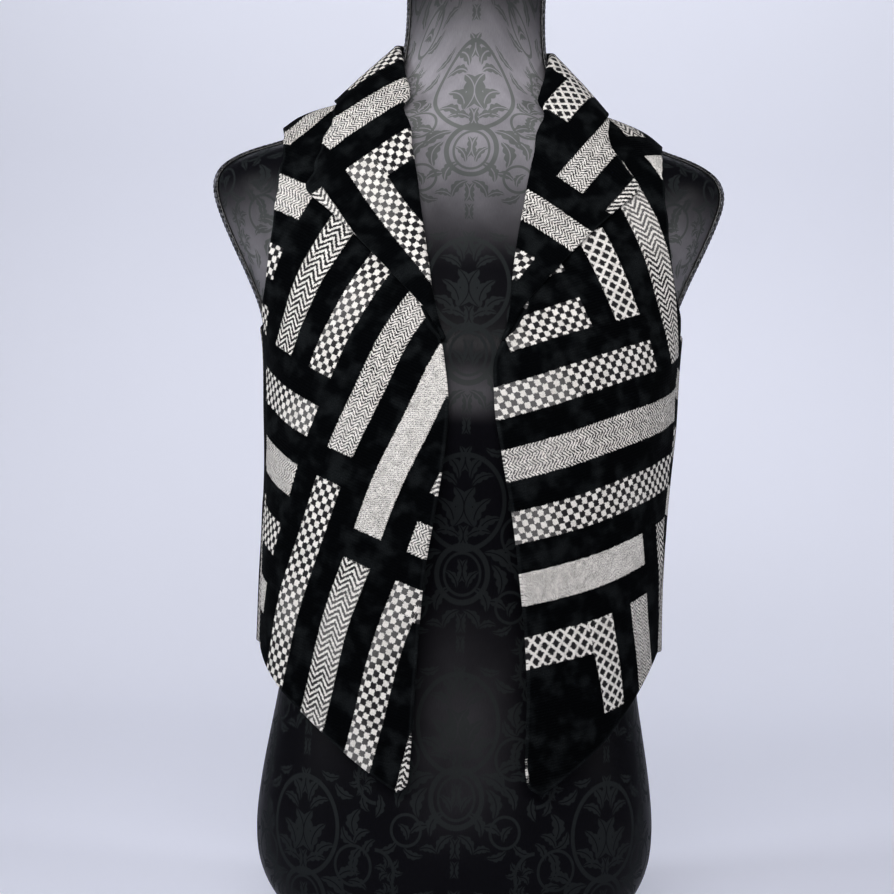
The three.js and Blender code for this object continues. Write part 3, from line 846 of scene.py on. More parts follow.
def back_piece():
    rows = {**spread(back_sections(), BACK_ROWS), "middle": np.full(BACK_ROWS, 180.0)}
    share = np.linspace(0, 1, BACK_HALF_COLUMNS)
    angle, z = (
        np.hstack([between(rows, a, b, share)[:, :-1], between(rows, b, c, share)])
        for a, b, c in (("outer", "turn", "middle"), ("outer_z", "turn_z", "middle_z"))
    )
    angle = np.hstack([angle, (360 - angle[:, ::-1])[:, 1:]])
    z = np.hstack([z, z[:, ::-1][:, 1:]])
    middle = hung(angle, z, CLOTH / 2)
    flat = relaxed(flat_cut(angle, z), middle, BACK_PRESSING)
    cut["vest_back"] = flat
    return cloth_piece("vest_back_cloth", middle, on_grain(flat, 0, 0, (0, 40)))


for side_name in SIDES:
    vest_pieces[f"vest_front_{side_name}"] = front_piece(side_name)
vest_pieces["vest_back"] = back_piece()

# %% [markdown]
# ## The shawl collar
# The collar stands up round the neck, rolls over and falls on the back and shoulders, and its
# two ends are the wide lapels with their points. It is one long strip, so it is made section by
# section: up the under layer from the neck seam, round the roll and down the fall. The fall is
# kept off the panel under it by a fixed small distance, which is how cloth lies on cloth.

# %% Collar
COLLAR = table("fold_x fold_z foot_z foot_x fall_x fall_z behind swell", """
0 690 655 0 0 618 1 4
24 690 654.6 30 42 618.5 1 4
41 689 654 51 76 621 1 4
52 686 653 63 95 627 1 3
0 681 650.5 0 0 630 0 1
55 670 646 0 99 624 0 1.5
52.5 654 637 0 101 615 0 2
50 630 622 0 103 601 0 2
47 603 600 0 108 588 0 2
43 575 575 0 114 576 0 2
39 550 551 0 120.5 563 0 1.5
35 526 527 0 103 545 0 1.2
31.5 502 502 0 82 524 0 1
28.5 478 478 0 59 499 0 0.8
25 460 460 0 30 465 0 0.3
20.8 449.5 449.5 0 21.2 450.2 0 0
""")
COLLAR_SEAM, COLLAR_LIE, COLLAR_ROLL, BACK_GAP = 1.3, 0.9, 1.1, 0.3
COLLAR_LIFT = {"left": 5, "right": -5}
SWELL, FLIP, WAVE = 4, 1.6, 0.5  # how the fall bulges, turns up at its edge and is uneven
LAPEL_GRAIN = {"left": (-24, 0, (76, 212)), "right": (-26, 0, (154, 387))}
ARM_STEPS, ROLL_STEPS, FALL_STEPS = 8, 9, 40
COLLAR_SECTIONS, COLLAR_PRESSING = 190, [(3, 1500)]
TIP_WIDTH, TIP_BLEND = 16, 12  # where the lapel's plain tip starts, and the rows before it


def collar_sections(name):
    behind = COLLAR["behind"] > 0

    def angle(x, z):
        centre = np.where(behind, 180.0, 90.0)
        return np.where(COLLAR[x] == 0, centre, angle_at(VEST, COLLAR[x], COLLAR[z], behind))

    angles = {part: angle(part + "_x", part + "_z") for part in ("fold", "foot", "fall")}
    rows = spread({**COLLAR, **angles}, COLLAR_SECTIONS)
    edge = front_sections(name)
    seam = read(edge, "inner_z", "inner", rows["foot_z"])
    rows["foot"] = np.where(rows["fold"] < 90, seam, rows["foot"])
    return rows


def clear_of_panels(p, far):
    for _ in range(4):
        distance, way = from_rings(VEST, p)
        p = p + way * np.maximum(far - distance, 0)[..., None]
    return p


def collar_grid(name):
    rows = collar_sections(name)
    pitch = CLOTH + COLLAR_ROLL
    gap = np.zeros(COLLAR_SECTIONS)
    gap[0] = BACK_GAP
    at = lambda angle, z: ring_point(VEST, SIDES[name] * (angle - gap), z)
    away = lambda p: from_rings(VEST, p)[1]
    fold = at(rows["fold"], rows["fold_z"])
    foot = at(rows["foot"], rows["foot_z"])
    outward = unit(foot - fold)
    way = away(fold)
    low = fold + outward * pitch / 2 + way * CLOTH / 2
    foot = foot - outward * COLLAR_SEAM
    foot = foot + away(foot) * CLOTH / 2
    line = [foot + (low - foot) * i / ARM_STEPS for i in range(ARM_STEPS)]
    centre = low + way * pitch / 2
    for i in range(ROLL_STEPS):
        turn = math.pi * i / (ROLL_STEPS - 1)
        line.append(centre - (way * math.cos(turn) + outward * math.sin(turn)) * pitch / 2)
    start = line[-1]
    lie = 1.5 * CLOTH + COLLAR_LIE
    lift = np.sin(np.pi * np.clip((rows["fold_z"] - 458.5) / 225, 0, 1))
    end = at(rows["fall"], rows["fall_z"] + COLLAR_LIFT[name] * lift)
    end = end + away(end) * lie
    along = np.linspace(0, 1, COLLAR_SECTIONS)
    for i in range(1, FALL_STEPS + 1):
        share = i / FALL_STEPS
        p = start + (end - start) * share
        puff = rows["swell"] * SWELL * share * (1 - share)
        flip = FLIP * share**4 * np.sin(np.pi * np.clip(along * 1.4 - 0.35, 0, 1))
        uneven = WAVE * np.sin(along * 31 + 2 * share) * share
        p = p + away(p) * (puff + flip + uneven)[:, None]
        line.append(clear_of_panels(p, lie))
    return np.stack(line, 1), fold


def strip_flat(grid, fold):
    """The strip laid flat: along its fold, and across it from the fold outwards."""
    along, across = run_length(fold), run_length(grid, 1)
    middle = ARM_STEPS + ROLL_STEPS // 2
    across -= across[:, middle : middle + 1]
    tangent = unit(np.gradient(fold, axis=0))
    chord = unit(grid[:, -1] - fold)
    lean = np.sum(tangent * chord, 1, keepdims=True)
    return np.stack([across * np.sqrt(1 - lean**2), -(along[:, None] + across * lean)], -1)


def collar_piece(name):
    grid, fold = collar_grid(name)
    plain = strip_flat(grid, fold)
    flat = relaxed(plain, grid, COLLAR_PRESSING)
    tip = np.argmax(np.linalg.norm(grid[:, 0] - grid[:, -1], axis=1) < TIP_WIDTH)
    share = np.clip((np.arange(len(grid)) - tip + TIP_BLEND) / TIP_BLEND, 0, 1)[:, None, None]
    flat += (plain + (flat[tip] - plain[tip]).mean(0) - flat) * share
    print("the plain tip starts at row", tip, "of", len(grid))
    cut[f"vest_collar_{name}"] = flat
    return cloth_piece(f"vest_collar_{name}_cloth", grid, on_grain(flat, *LAPEL_GRAIN[name]))


for side_name in SIDES:
    vest_pieces[f"vest_collar_{side_name}"] = collar_piece(side_name)

# %% [markdown]
# ## The dress form
# The form's body is one smooth satin surface from its flat foot to the neck. A stack of rings
# at even steps along its profile gives quads of the same size on the waist and on the flat of
# the shoulders. Its UV map is the length round the ring and up the profile, so that the satin's
# ornament keeps its size round the sides.

# %% Form
PROFILE_STEPS = 4000


def even_heights(rows, step):
    """Heights that are evenly spaced along the profile at the side."""
    fine = np.linspace(rows["z"][0], rows["z"][-1], PROFILE_STEPS)
    length = run_length(ring_point(rows, np.full(len(fine), 90.0), fine))
    return np.interp(np.linspace(0, length[-1], int(length[-1] / step)), length, fine)


def softened(grid, times):
    """Averages each ring with its neighbours, so that the satin shows no joints of the table."""
    for _ in range(times):
        grid = np.concatenate([grid[:1], (grid[:-2] + 2 * grid[1:-1] + grid[2:]) / 4, grid[-1:]])
    return grid


def ring_solid(name, rings, flat):
    """A closed solid from rings of points, with both ends filled towards their middles."""
    rows, columns = rings.shape[:2]
    middles = [rings[0].mean(0), rings[-1].mean(0)]
    points = np.concatenate([rings.reshape(-1, 3), middles])
    faces, corners = [], []
    for r in range(rows - 1):
        low, high = r * columns, (r + 1) * columns
        for c in range(columns):
            n = (c + 1) % columns
            faces.append((low + c, low + n, high + n, high + c))
            corners += [flat[r, c], flat[r, c + 1], flat[r + 1, c + 1], flat[r + 1, c]]
    for c in range(columns):
        n = (c + 1) % columns
        last = (rows - 1) * columns
        faces += [(len(points) - 2, n, c), (len(points) - 1, last + c, last + n)]
        corners += [flat[0, c], flat[0, c + 1], flat[0, c]]
        corners += [flat[-1, c], flat[-1, c], flat[-1, c + 1]]
    return mapped_piece(name, points, faces, np.array(corners))


FORM_COLUMNS, FORM_STEP, FORM_EASE = 152, 3.4, 14
around = np.linspace(-180, 180, FORM_COLUMNS + 1)
heights = even_heights(FORM, FORM_STEP)
angles, levels = np.meshgrid(around, heights)
form_rings = softened(ring_point(FORM, angles, levels), FORM_EASE)
form_flat = np.stack([girth(FORM, angles, levels), rise(FORM, angles, levels)], -1)
form_body = ring_solid("dress_form", form_rings[:, :-1], form_flat)

# %% [markdown]
# The photograph's upper edge cuts the neck, so its end is finished plainly: a low domed cap in
# the same satin, a shade narrower than the neck.

# %% Neck cap
CAP_TOP, CAP_GAP, CAP_HEIGHT = 732, 0.3, 9.0
CAP_SIDE, CAP_DOME = 4.2, 4.6  # how high its side and its dome are
CAP_WIDTH, CAP_INWARD = 0.99, 0.22  # shares of the neck's own width
cap_turn = np.radians(np.linspace(0, 90, 9))[1:]
dome = CAP_WIDTH - CAP_INWARD * (1 - np.cos(cap_turn))
cap_share = np.concatenate([[0.93, 0.985, CAP_WIDTH, CAP_WIDTH], dome, [0.4]])
dome_up = CAP_SIDE + CAP_DOME * np.sin(cap_turn)
cap_up = np.concatenate([[0.0, 0.3, 1.0, CAP_SIDE], dome_up, [CAP_HEIGHT]])
top_ring = ring_point(FORM, around, np.full(FORM_COLUMNS + 1, float(CAP_TOP)))
cap_rings = top_ring[None] * np.stack([cap_share, cap_share, 0 * cap_share], -1)[:, None]
cap_rings[..., 2] = CAP_TOP + CAP_GAP + cap_up[:, None]
cap_flat = np.stack([cap_rings[..., 0] + 20, cap_rings[..., 1] + cap_rings[..., 2]], -1)
neck_cap = ring_solid("neck_cap", cap_rings[:, :-1], cap_flat)

# %% [markdown]
# ## Braid on the form's seams
# A narrow gimp braid runs from the neck over the shoulder and down to the underarm, just in
# front of the side seam, where the photograph shows it on edge. It is a flat band with two rows
# of tiny looped threads. The band is a swept strip, and the loops are Geometry Nodes: one small
# ring is placed at even steps along the seam, leaned to one side, and the next row leans the
# other way.

# %% Seam line and band
BRAID_WIDTH, BAND_HEIGHT, BAND_GAP = 5.8, 2.6, -0.3
BRAID_COLUMN = {1: 110, -1: 42}  # the form's columns just in front of its two sides
BRAID_END = 468
LOOP_ROWS = {"front": (-1.5, 35), "rear": (1.5, -35)}  # millimetres aside, lean in degrees
LOOP_SIZES = {"Spacing": 4.0, "Loop": 2.4, "Thread": 0.58}  # millimetres
BAND_CORNERS, BAND_ROUND, SEAM_STEP = 12, 0.6, 2.0


def seam_line(sign):
    """Points down the form's side seam, with the directions across and out of it."""
    column = BRAID_COLUMN[sign]
    above = form_rings[:, column, 2] > BRAID_END
    line = form_rings[above, column][::-1]
    aside = unit((form_rings[above, column + 1] - form_rings[above, column - 1])[::-1])
    length = run_length(line)
    at = np.arange(0, length[-1], SEAM_STEP)
    line, side = (
        np.stack([np.interp(at, length, values[:, axis]) for axis in range(3)], 1)
        for values in (line, aside)
    )
    side = unit(side)
    out = unit(np.cross(side, unit(np.gradient(line, axis=0))))
    out *= np.sign(np.sum(out * (line - [0, 0, 420]), 1, keepdims=True))
    return line, side, out


def band_piece(name, sign):
    line, side, out = seam_line(sign)
    turn = np.linspace(0, 2 * np.pi, BAND_CORNERS + 1)[:-1, None]
    wide = signed_power(np.cos(turn), BAND_ROUND) * BRAID_WIDTH / 2
    high = signed_power(np.sin(turn), BAND_ROUND) * BAND_HEIGHT / 2
    lift = BAND_GAP + BAND_HEIGHT / 2 + high
    rings = line[:, None] + out[:, None] * lift + side[:, None] * wide
    along, across = np.arange(len(line)) * SEAM_STEP, np.arange(BAND_CORNERS + 1) * 1.1
    return ring_solid(name, rings, np.stack(np.meshgrid(across, along), -1))


def seam_points(name, sign, shift):
    """The seam as loose points with edges and an outward direction, for the loops to follow."""
    line, side, out = seam_line(sign)
    line = line + out * (BAND_GAP + BAND_HEIGHT) + side * shift
    edges = [(i, i + 1) for i in range(len(line) - 1)]
    path = new_object(name, in_frame(line), [], edges)
    given = path.data.attributes.new("out", "FLOAT_VECTOR", "POINT")
    given.data.foreach_set("vector", out.astype(np.float32).ravel())
    return path


# %% [markdown]
# The node tree for one row of loops. Its inputs are the spacing, the loop's size, the thread's
# thickness and the lean. Every loop is a circle swept with a thin round thread.

# %% Loops
LOOP_CORNERS, THREAD_CORNERS = 9, 5


def loops_tree():
    tree = bpy.data.node_groups.new("braid_loops", "GeometryNodeTree")
    numbers = [(label, "Float") for label in ("Spacing", "Loop", "Thread", "Lean")]
    for label, kind in [("Geometry", "Geometry"), *numbers, ("Material", "Material")]:
        tree.interface.new_socket(label, in_out="INPUT", socket_type=f"NodeSocket{kind}")
    tree.interface.new_socket("Geometry", in_out="OUTPUT", socket_type="NodeSocketGeometry")
    given = {s.name: Value(s) for s in tree.nodes.new("NodeGroupInput").outputs if s.name}

    def add(kind, inputs, **settings):
        """Adds a node, wires its inputs by name or number and gives back its first output."""
        node = tree.nodes.new(kind)
        for name, setting in settings.items():
            setattr(node, name, setting)
        for name, value in inputs.items():
            wire(node.inputs[name], value)
        return Value(node.outputs[0])

    turned, circle = "FunctionNodeAlignRotationToVector", "GeometryNodeCurvePrimitiveCircle"
    curve = add("GeometryNodeMeshToCurve", {0: given["Geometry"]})
    even = {"Curve": curve, "Length": given["Spacing"]}
    even = add("GeometryNodeResampleCurve", even, mode="LENGTH")
    outward = add("GeometryNodeInputNamedAttribute", {"Name": "out"}, data_type="FLOAT_VECTOR")
    face_out = add(turned, {"Vector": outward}, axis="Z")
    follow = {"Rotation": face_out, "Vector": add("GeometryNodeInputTangent", {})}
    follow = add(turned, follow, axis="Y", pivot_axis="Z")
    spin = add("ShaderNodeCombineXYZ", {"Z": given["Lean"]})
    lean = add("FunctionNodeRotateRotation", {0: follow, 1: spin}, rotation_space="LOCAL")
    ring = add(circle, {"Resolution": LOOP_CORNERS, "Radius": given["Loop"]})
    oval = add("GeometryNodeTransform", {"Geometry": ring, "Scale": (1.0, 0.62, 1.0)})
    thread = add(circle, {"Resolution": THREAD_CORNERS, "Radius": given["Thread"]})
    loop = add("GeometryNodeCurveToMesh", {"Curve": oval, "Profile Curve": thread})
    placed = {"Points": even, "Instance": loop, "Rotation": lean}
    placed = add("GeometryNodeInstanceOnPoints", placed)
    real = add("GeometryNodeRealizeInstances", {0: placed})
    paint = {"Geometry": real, "Material": given["Material"]}
    wire(tree.nodes.new("NodeGroupOutput").inputs[0], add("GeometryNodeSetMaterial", paint))
    return tree


def set_inputs(modifier, values):
    """Sets a tree's inputs by their identifiers, before the object is evaluated."""
    for item in modifier.node_group.interface.items_tree:
        if item.in_out == "INPUT" and item.name in values:
            modifier[item.identifier] = values[item.name]


def baked(thing, name):
    """The evaluated object as a plain mesh with nothing live left on it."""
    graph = bpy.context.evaluated_depsgraph_get()
    graph.update()
    mesh = bpy.data.meshes.new_from_object(thing.evaluated_get(graph))
    bpy.data.objects.remove(thing)
    mesh.polygons.foreach_set("use_smooth", [True] * len(mesh.polygons))
    return linked(name, mesh)


braid_thread = bpy.data.materials.new("braid_thread")
LOOPS = loops_tree()
braid_pieces = {}


def loops_piece(name, sign, shift, lean):
    path = seam_points(name + "_path", sign, shift)
    modifier = path.modifiers.new("loops", "NODES")
    modifier.node_group = LOOPS
    sizes = {label: size * MM for label, size in LOOP_SIZES.items()}
    set_inputs(modifier, {**sizes, "Lean": math.radians(lean), "Material": braid_thread})
    piece = baked(path, name)
    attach(piece, "root")
    print(name, "faces", len(piece.data.polygons))
    return piece


for side_name, sign in SIDES.items():
    braid_pieces[side_name] = [band_piece(f"braid_band_{side_name}", sign)]
    for row_name, row in LOOP_ROWS.items():
        loops = loops_piece(f"braid_loops_{row_name}_{side_name}", sign, *row)
        braid_pieces[side_name].append(loops)

# %% [markdown]
# ## Five weaves
# The light bars of a jacquard are woven flat between fields of cut pile. Each weave here is a
# small node group that takes a position along and across its bar in millimetres and answers
# with the amount of cream thread that shows: a basket check, a chevron that serves as fine
# herringbone and as coarse zigzag, a diamond lattice, and a close twill with dark specks.

# %% Weaves
def basket(along, across, cell):
    return ramp(wave(along, cell * 2.0) * wave(across, cell * 2.0), -0.08, 0.16)


def chevron(along, across, pitch, turn, share):
    zigzag = calc("PINGPONG", across, turn)
    return ramp(wave(along + zigzag, pitch) + share, -0.3, 0.45)


def lattice(along, across, pitch):
    slants = (along + across * 0.9, along - across * 0.9)
    lines = [calc("ABSOLUTE", wave(slant, pitch * 2.0)) for slant in slants]
    return ramp(calc("MINIMUM", *lines), 0.62, 0.34)


def twill(along, across, pitch):
    specks = wave(along + across * 2.0, pitch) * wave(across - along * 1.3, pitch)
    return 1.0 - ramp(specks, 0.0, 0.4) * 0.9


PLACE = ["Along", "Across"]
BASKET = shader_group("basket_check", [*PLACE, "Cell"], ["Cream"], basket)
CHEVRON = shader_group("chevron", [*PLACE, "Pitch", "Turn", "Share"], ["Cream"], chevron)
LATTICE = shader_group("diamond_lattice", [*PLACE, "Pitch"], ["Cream"], lattice)
TWILL = shader_group("close_twill", [*PLACE, "Pitch"], ["Cream"], twill)
print("weave nodes", [len(group.nodes) for group in (BASKET, CHEVRON, LATTICE, TWILL)])

# %% [markdown]
# ## The chart of bars
# The cloth in the photograph has a design of its own, which is its maker's. This chart is
# another one: a plain fret of straight bars and hooks on an even pitch, drawn up for this
# lesson, with bars of the same width, weaves and colours. It is a table of runs on a grid of
# cells, as a weaver would write it, and the whole chart repeats.

# %% Chart
PITCH, BAR_FROM, BAR_TO = 44.0, 10.6, 33.4
CHART_COLUMNS, CHART_ROWS = 8, 10
WEAVES = ["check", "herringbone", "zigzag", "lattice", "twill"]
# weave, first column and row, last column and row
RUNS = """
check 1 4 6 4
check 6 0 6 4
twill 1 3 4 3
zigzag 5 0 5 3
lattice 1 0 1 2
lattice 1 2 3 2
lattice 3 1 3 2
herringbone 4 0 4 2
check 0 0 0 5
zigzag 7 0 7 4
herringbone 1 5 6 5
check 1 6 5 6
zigzag 6 6 6 9
twill 7 5 7 9
check 1 7 1 9
zigzag 2 7 2 9
check 3 7 4 7
check 3 8 4 8
herringbone 3 9 5 9
lattice 5 7 5 8
herringbone 0 6 0 9
"""


def bar(u, v, left, bottom, right, top):
    """1 inside one bar and 0 outside, given the bar's two corners."""
    beside = calc("MINIMUM", u - left, right - u)
    above = calc("MINIMUM", v - bottom, top - v)
    return ramp(calc("MINIMUM", beside, above), -0.25, 0.25)


BAR = shader_group("bar", ["U", "V", "Left", "Bottom", "Right", "Top"], ["Inside"], bar)


def chart(u, v):
    """All runs of the chart: the bars of each weave, and those that run upright."""
    u = calc("WRAP", u, CHART_COLUMNS * PITCH, 0.0)
    v = calc("WRAP", v, CHART_ROWS * PITCH, 0.0)
    found = dict.fromkeys([*WEAVES, "upright"], 0.0)
    for line in RUNS.strip().splitlines():
        weave, *cells = line.split()
        cells = [int(cell) for cell in cells]
        starts = (BAR_FROM, BAR_FROM, BAR_TO, BAR_TO)
        inside = use(BAR, u, v, *[cell * PITCH + start for cell, start in zip(cells, starts)])
        found[weave] = calc("MAXIMUM", found[weave], inside)
        if cells[3] - cells[1] > cells[2] - cells[0]:
            found["upright"] = calc("MAXIMUM", found["upright"], inside)
    return tuple(found.values())


CHART = shader_group("chart_of_bars", ["U", "V"], [*map(str.title, WEAVES), "Upright"], chart)
print("tile of", CHART_COLUMNS * PITCH, "by", CHART_ROWS * PITCH, "mm, nodes", len(CHART.nodes))

# %% [markdown]
# ## The velvet jacquard
# The whole cloth in one group: the position is disturbed a little first, because no woven line
# is quite straight, then the chart picks a weave for each place. The ground is a black chenille
# pile. It is a soft ribbed height with a blue-green grey where the pile is brushed. The woven
# bars carry fine cross marks, and the dark between their threads goes from black to grey.

# %% Velvet jacquard
END_PITCH, PICK_PITCH, RIB_PITCH, CHECK_CELL = 1.5, 1.3, 2.1, 4.4  # millimetres
HERRINGBONE, ZIGZAG = (2.7, 4.4, 0.12), (4.6, 6.6, -0.05)  # pitch, turn, share of cream
LATTICE_PITCH, TWILL_PITCH = 8.8, 3.3


def jacquard(u, v, edge):
    place = vector(u, v)
    fray_u = noise(place, 0.8, 1, 0.8) - 0.5
    fray_v = noise(vector(v, u, 9.0), 0.8, 1, 0.8) - 0.5
    u, v = (
        calc("SINE", v * 0.061 + 1.0) * 0.7 + (fray_u * 2.6 + u),
        calc("SINE", u * 0.047 + 1.0) * 0.7 + (fray_v * 2.6 + v),
    )
    *found, upright = use(CHART, u, v)
    turned = 1.0 - upright
    along = u * turned + v * upright
    across = v * turned + u * upright
    shown = (
        use(BASKET, along, across, CHECK_CELL),
        use(CHEVRON, along, across, *HERRINGBONE),
        use(CHEVRON, along, across, *ZIGZAG),
        use(LATTICE, along, across, LATTICE_PITCH),
        use(TWILL, along, across, TWILL_PITCH),
    )
    bars, cream = 0.0, 0.0
    for inside, amount in zip(found, shown):
        bars = calc("MAXIMUM", bars, inside)
        cream = inside * amount + cream
    cream = calc("MINIMUM", cream, 1.0)
    thread = wave(u, END_PITCH) * wave(v, PICK_PITCH)
    grain = noise(place, 1.5, 2, 0.7)
    blotch = noise(place, 0.055, 2)
    cell = vector(calc("FLOOR", along / CHECK_CELL), calc("FLOOR", across / CHECK_CELL))
    yarn = Value(add_node("ShaderNodeTexWhiteNoise", cell).outputs["Value"])
    light = thread * 0.26 + grain * 0.55 + blotch * 0.25 + yarn * 0.34 + 0.28
    cream_colour = blend(light, (0.22, 0.207, 0.185), (0.76, 0.735, 0.69))
    grey = ramp(noise(place, 0.011, 0), 0.46, 0.60)
    between = blend(grey, (0.030, 0.029, 0.030), (0.20, 0.195, 0.19))
    between = blend(grain, (0.003, 0.003, 0.004), between)
    woven = blend(cream, between, cream_colour)
    tufts = ramp(grain, 0.35, 0.75) * 0.75 + 0.25
    brushed_pile_and_edge_highlight = ramp(blotch, 0.44, 0.72) * tufts * 0.75 + ramp(grain, 0.55, 0.95) * 0.35
    # Along each piece's edges the pile is painted lighter: a painted highlight on the turned edge.
    brushed_pile_and_edge_highlight = brushed_pile_and_edge_highlight + ramp(wave(v, RIB_PITCH), -0.2, 1.0) * 0.05 + ramp(edge, 1.7, 0.2) * 0.22
    pile = blend(brushed_pile_and_edge_highlight, (0.0006, 0.0008, 0.0011), (0.015, 0.0175, 0.0185))
    return blend(bars, pile, woven), ramp(bars, 0.0, 1.0, 0.95, 0.72)


def pile_height(u, v):
    """The height of the chenille: soft ribs and tufts that stand unevenly."""
    return noise(vector(u, v), 0.55, 2, 0.6) + wave(v, RIB_PITCH) * 0.15


ANSWERS = ["Cloth Colour", "Roughness"]
JACQUARD = shader_group("velvet_jacquard", ["U", "V", "Edge"], ANSWERS, jacquard)
PILE = shader_group("pile_height", ["U", "V"], ["Height"], pile_height)


def raised(shader, height, distance, strength):
    bump = height.tree.nodes.new("ShaderNodeBump")
    for label, value in (("Height", height), ("Distance", distance * MM), ("Strength", strength)):
        wire(bump.inputs[label], value)
    wire(shader.inputs["Normal"], Value(bump.outputs[0]))


def velvet_material():
    paint, tree, shader = new_material(
        "vest_velvet",
        Specular_IOR_Level=0.015,
        Sheen_Weight=0.015,
        Sheen_Roughness=0.35,
        Sheen_Tint=(0.8, 0.88, 0.95, 1),
    )
    u, v = cut_position(tree)
    edge = tree.nodes.new("ShaderNodeAttribute")
    edge.attribute_name = "edge"
    colour, roughness = use(JACQUARD, u, v, Value(edge.outputs["Fac"]))
    wire(shader.inputs["Base Color"], colour)
    wire(shader.inputs["Roughness"], roughness)
    raised(shader, use(PILE, u, v), 0.8, 0.5)
    return paint


velvet = velvet_material()
print("velvet nodes", len(JACQUARD.nodes) + len(CHART.nodes))

# %% [markdown]
# ## The form's damask satin
# The form is covered in a black satin with a tone-on-tone ornament of the kind that has been
# woven for centuries: a mirrored medallion of leaves. One leaf is a node group, two arcs that
# meet in points, and the medallion is a table of leaves listed on one half. The leaves are a
# little greener and more matt than the ground. A window's highlight on the neck, the chest and
# the shoulders is painted into the satin's colour, placed by height and side.

# %% Damask
# place, lean in degrees, half length and half width in millimetres
LEAVES = rows_of("""
0 57 90 9 3.6
5.5 53 60 9 3.0
10 46 28 8 2.8
0 27 90 13 6.5
8 25 62 11 4.0
14 18 35 9 3.4
9 12 12 8 3.0
0 9 90 7 3.0
34 36 82 9 4.2
39 29 40 7 3.0
30 26 130 7 3.0
36 15 70 8 3.4
31 5 20 9 3.6
39 -1 -20 7 2.8
24 -4 -35 11 4.4
34 -13 -60 9 3.4
24 -17 -75 10 4.0
14 -29 -60 9 3.6
0 -13 90 8 3.0
5 -17 55 7 2.4
22 -32 -20 7 2.8
8 -41 -50 8 3.0
0 -45 90 7 3.0
16 -45 10 6 2.4
0 -58 90 6 2.6
30 -35 60 6 2.6
35 9 90 7 3.2
44 22 60 7 2.6
46 -22 100 8 2.8
40 -47 150 7 2.6
26 -50 200 7 2.6
27 52 150 8 3.0
18 61 170 7 2.6
41 47 110 6 2.4
""")
# middle across and up, half width, half height and half thickness
OVALS = rows_of("""
0 30 24.5 30 1.3
0 -15 15.5 17.5 1.6
0 -15 11.0 13.0 0.8
35 9 11.5 12.5 0.9
30 -35 9 9.5 0.9
49 -62 12 14 1.0
49 62 12 14 1.0
""")
PETALS, FLOWER, PETAL_REACH, PETAL_SIZE = 6, (40, 60), 5, (4.2, 2.2)
MEDALLION_WIDTH, MEDALLION_HEIGHT = 98.0, 136.0
ORNAMENT_SIZE = 1.2
SATIN_START = 424.0  # where on the cut the chest medallion has its middle


def leaf(u, v, centre_u, centre_v, cosine, sine, length, width):
    """One lobed leaf with an open vein, given by its middle, direction and size."""
    du, dv = u - centre_u, v - centre_v
    along = dv * sine + du * cosine
    across = dv * cosine - du * sine
    share = along / length
    square = share * share
    bent = calc("ABSOLUTE", square * width + across)
    lobes = calc("ABSOLUTE", calc("SINE", share * 6.0))
    room = (1.0 - square) * width * (lobes * 0.35 + 0.72)
    return ramp(calc("MINIMUM", room - bent, bent - 0.3), -0.15, 0.3)


def oval(u, v, centre_u, centre_v, half_width, half_height, thickness):
    x, y = (u - centre_u) / half_width, (v - centre_v) / half_height
    off = calc("ABSOLUTE", calc("SQRT", x * x + y * y) - 1.0) * half_width
    return ramp(thickness - off, -0.2, 0.3)


AIM = ["U", "V", "Centre U", "Centre V"]
LEAF = shader_group("leaf", [*AIM, "Cosine", "Sine", "Length", "Width"], ["Inside"], leaf)
OVAL = shader_group("oval", [*AIM, "Half Width", "Half Height", "Thickness"], ["Inside"], oval)


def flower_petals():
    for side in (-1, 1):
        for petal in range(PETALS):
            turn = math.radians(20 + 360 * petal / PETALS)
            across = FLOWER[0] + PETAL_REACH * math.cos(turn)
            up = FLOWER[1] * side + PETAL_REACH * math.sin(turn)
            yield across, up, math.degrees(turn), *PETAL_SIZE


def medallion(u, v):
    """The medallion with its mirrored half, moved up by half on every second column."""
    half_width, half_height = MEDALLION_WIDTH / 2, MEDALLION_HEIGHT / 2
    column = calc("FLOOR", (u + half_width) / MEDALLION_WIDTH)
    v = calc("FLOORED_MODULO", column, 2.0) * half_height + v
    v = calc("WRAP", v, half_height, -half_height)
    u = calc("ABSOLUTE", calc("WRAP", u, half_width, -half_width))
    figure = 0.0
    for across, up, lean, length, width in [*LEAVES, *flower_petals()]:
        turn = math.radians(lean)
        inside = use(LEAF, u, v, across, up, math.cos(turn), math.sin(turn), length, width)
        figure = calc("MAXIMUM", figure, inside)
    for row in OVALS:
        figure = calc("MAXIMUM", figure, use(OVAL, u, v, *row))
    return figure


MEDALLION = shader_group("medallion", ["U", "V"], ["Figure"], medallion)
# Painted highlights on the chest and on the belly, added to the painted sheen.
PAINTED_SHEEN_SPOTS = [  # height, reach up and down, reach to the sides, and amount
    (0.413, 0.026, 0.04, 0.24),
    (0.17, 0.11, 0.055, 0.09),
]


def painted_window_sheen(tree):
    """Painted sheen: how much a window's highlight lightens the neck, the chest and the shoulders'
    lower fronts.
    """
    x, _, height = parted(object_position(tree))
    # Painted highlight: bright on the neck and upper chest, and on the shoulders' lower fronts with
    # their tops left dark.
    middle = ramp(height, 0.50, 0.64) * ramp(height, 0.64, 0.74, 1.0, 0.0)
    sides = ramp(height, 0.42, 0.50) * ramp(height, 0.515, 0.575, 0.5, 0.0)
    painted_sheen = ramp(calc("ABSOLUTE", x), 0.07, 0.10) * (sides - middle) + middle
    across = calc("ABSOLUTE", x - 0.005)
    for level, high, wide, amount in PAINTED_SHEEN_SPOTS:
        upright = ramp(calc("ABSOLUTE", height - level), 0.0, high, amount, 0.0)
        painted_sheen = painted_sheen + upright * ramp(across, 0.0, wide, 1.0, 0.0)
    return painted_sheen


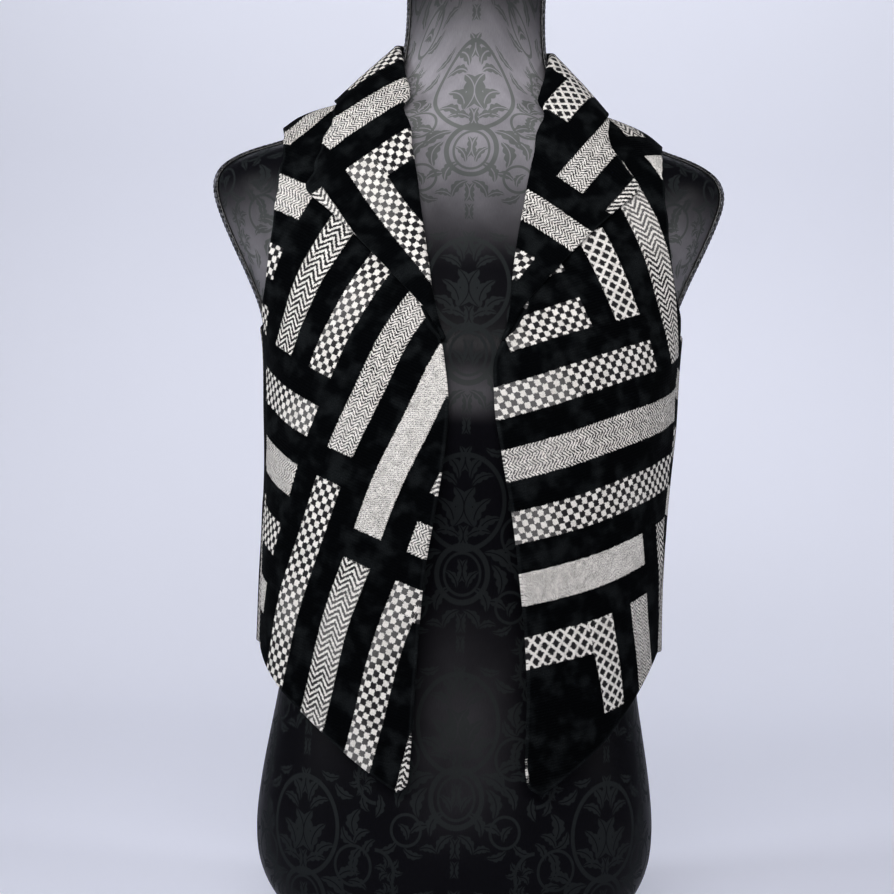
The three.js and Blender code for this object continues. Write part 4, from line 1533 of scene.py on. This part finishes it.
def satin_material():
    paint, tree, shader = new_material("form_satin", Roughness=0.4, Specular_IOR_Level=0.05)
    u, v = cut_position(tree)
    v = v - SATIN_START
    figure = use(MEDALLION, u / ORNAMENT_SIZE, v / ORNAMENT_SIZE)
    weave = noise(vector(u * 3.0, v * 0.35), 0.6, 2, 0.7)
    cloud = noise(vector(u, v), 0.03, 2)
    # The painted sheen lightens the ground and the leaves where a window's highlight would fall.
    painted_sheen = painted_window_sheen(tree) * (cloud + 0.45)
    ground = blend(weave, (0.0015, 0.0015, 0.0022), (0.004, 0.004, 0.0055))
    painted_highlight_colour = blend(weave, (0.20, 0.192, 0.208), (0.30, 0.289, 0.311))
    ground = blend(painted_sheen, ground, painted_highlight_colour)
    leaf = blend(weave, (0.007, 0.0085, 0.009), (0.014, 0.0165, 0.0175))
    leaf = blend(painted_sheen, leaf, (0.128, 0.135, 0.130))
    wire(shader.inputs["Base Color"], blend(figure, ground, leaf))
    wire(shader.inputs["Roughness"], figure * 0.24 + cloud * 0.10 + weave * 0.06 + 0.27)
    raised(shader, weave, 0.12, 0.35)
    return paint


satin = satin_material()
print("leaves", len(LEAVES), "satin nodes", len(MEDALLION.nodes))

# %% [markdown]
# ## Braid thread
# The gimp braid is wound from a bright black thread, so it has fine turns across it, and grey
# patches about a loop's size are painted on it as highlights. The band under the loops is the
# same thread, painted darker as shade.

# %% Braid thread
def thread_material(name, *colours):
    paint, tree, shader = new_material(name, Roughness=0.42, Specular_IOR_Level=0.45)
    place = object_position(tree)
    fine, wide = noise(place, 2600, 2), noise(place, 330, 1)
    # Grey patches about a loop's size: painted highlights on the black thread.
    wire(shader.inputs["Base Color"], blend(ramp(wide, 0.42, 0.62) * (fine + 0.4), *colours))
    wire(shader.inputs["Roughness"], wide * 0.25 + 0.3)
    raised(shader, fine, 0.15, 0.4)
    return paint


thread_material("braid_thread", (0.003, 0.003, 0.004), (0.135, 0.138, 0.155))
# The band: the same thread painted darker, as shade under the loops.
braid_band_painted_shade = thread_material("braid_band_painted_shade", (0.001, 0.001, 0.001), (0.006, 0.006, 0.007))

# %% [markdown]
# ## Putting it together
# Every fine piece takes the place of the plain solid that it was made on, and gets its material.

# %% Pieces in place
def dress(piece, paint):
    piece.data.materials.clear()
    piece.data.materials.append(paint)


for node, piece in vest_pieces.items():
    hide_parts(node)
    dress(piece, velvet)
    flat = cut[node]
    width, length = (flat.reshape(-1, 2).max(0) - flat.reshape(-1, 2).min(0)) * MM
    area = flat_area(flat)
    print(node, "cut", round(width, 3), "by", round(length, 3), "m, area", round(area, 4), "m2")
for piece, node in ((form_body, "form_body"), (neck_cap, "form_neck_cap")):
    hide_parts(node)
    dress(piece, satin)
for side_name, pieces in braid_pieces.items():
    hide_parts(f"form_braid_{side_name}")
    for piece, paint in zip(pieces, (braid_band_painted_shade, braid_thread, braid_thread)):
        dress(piece, paint)
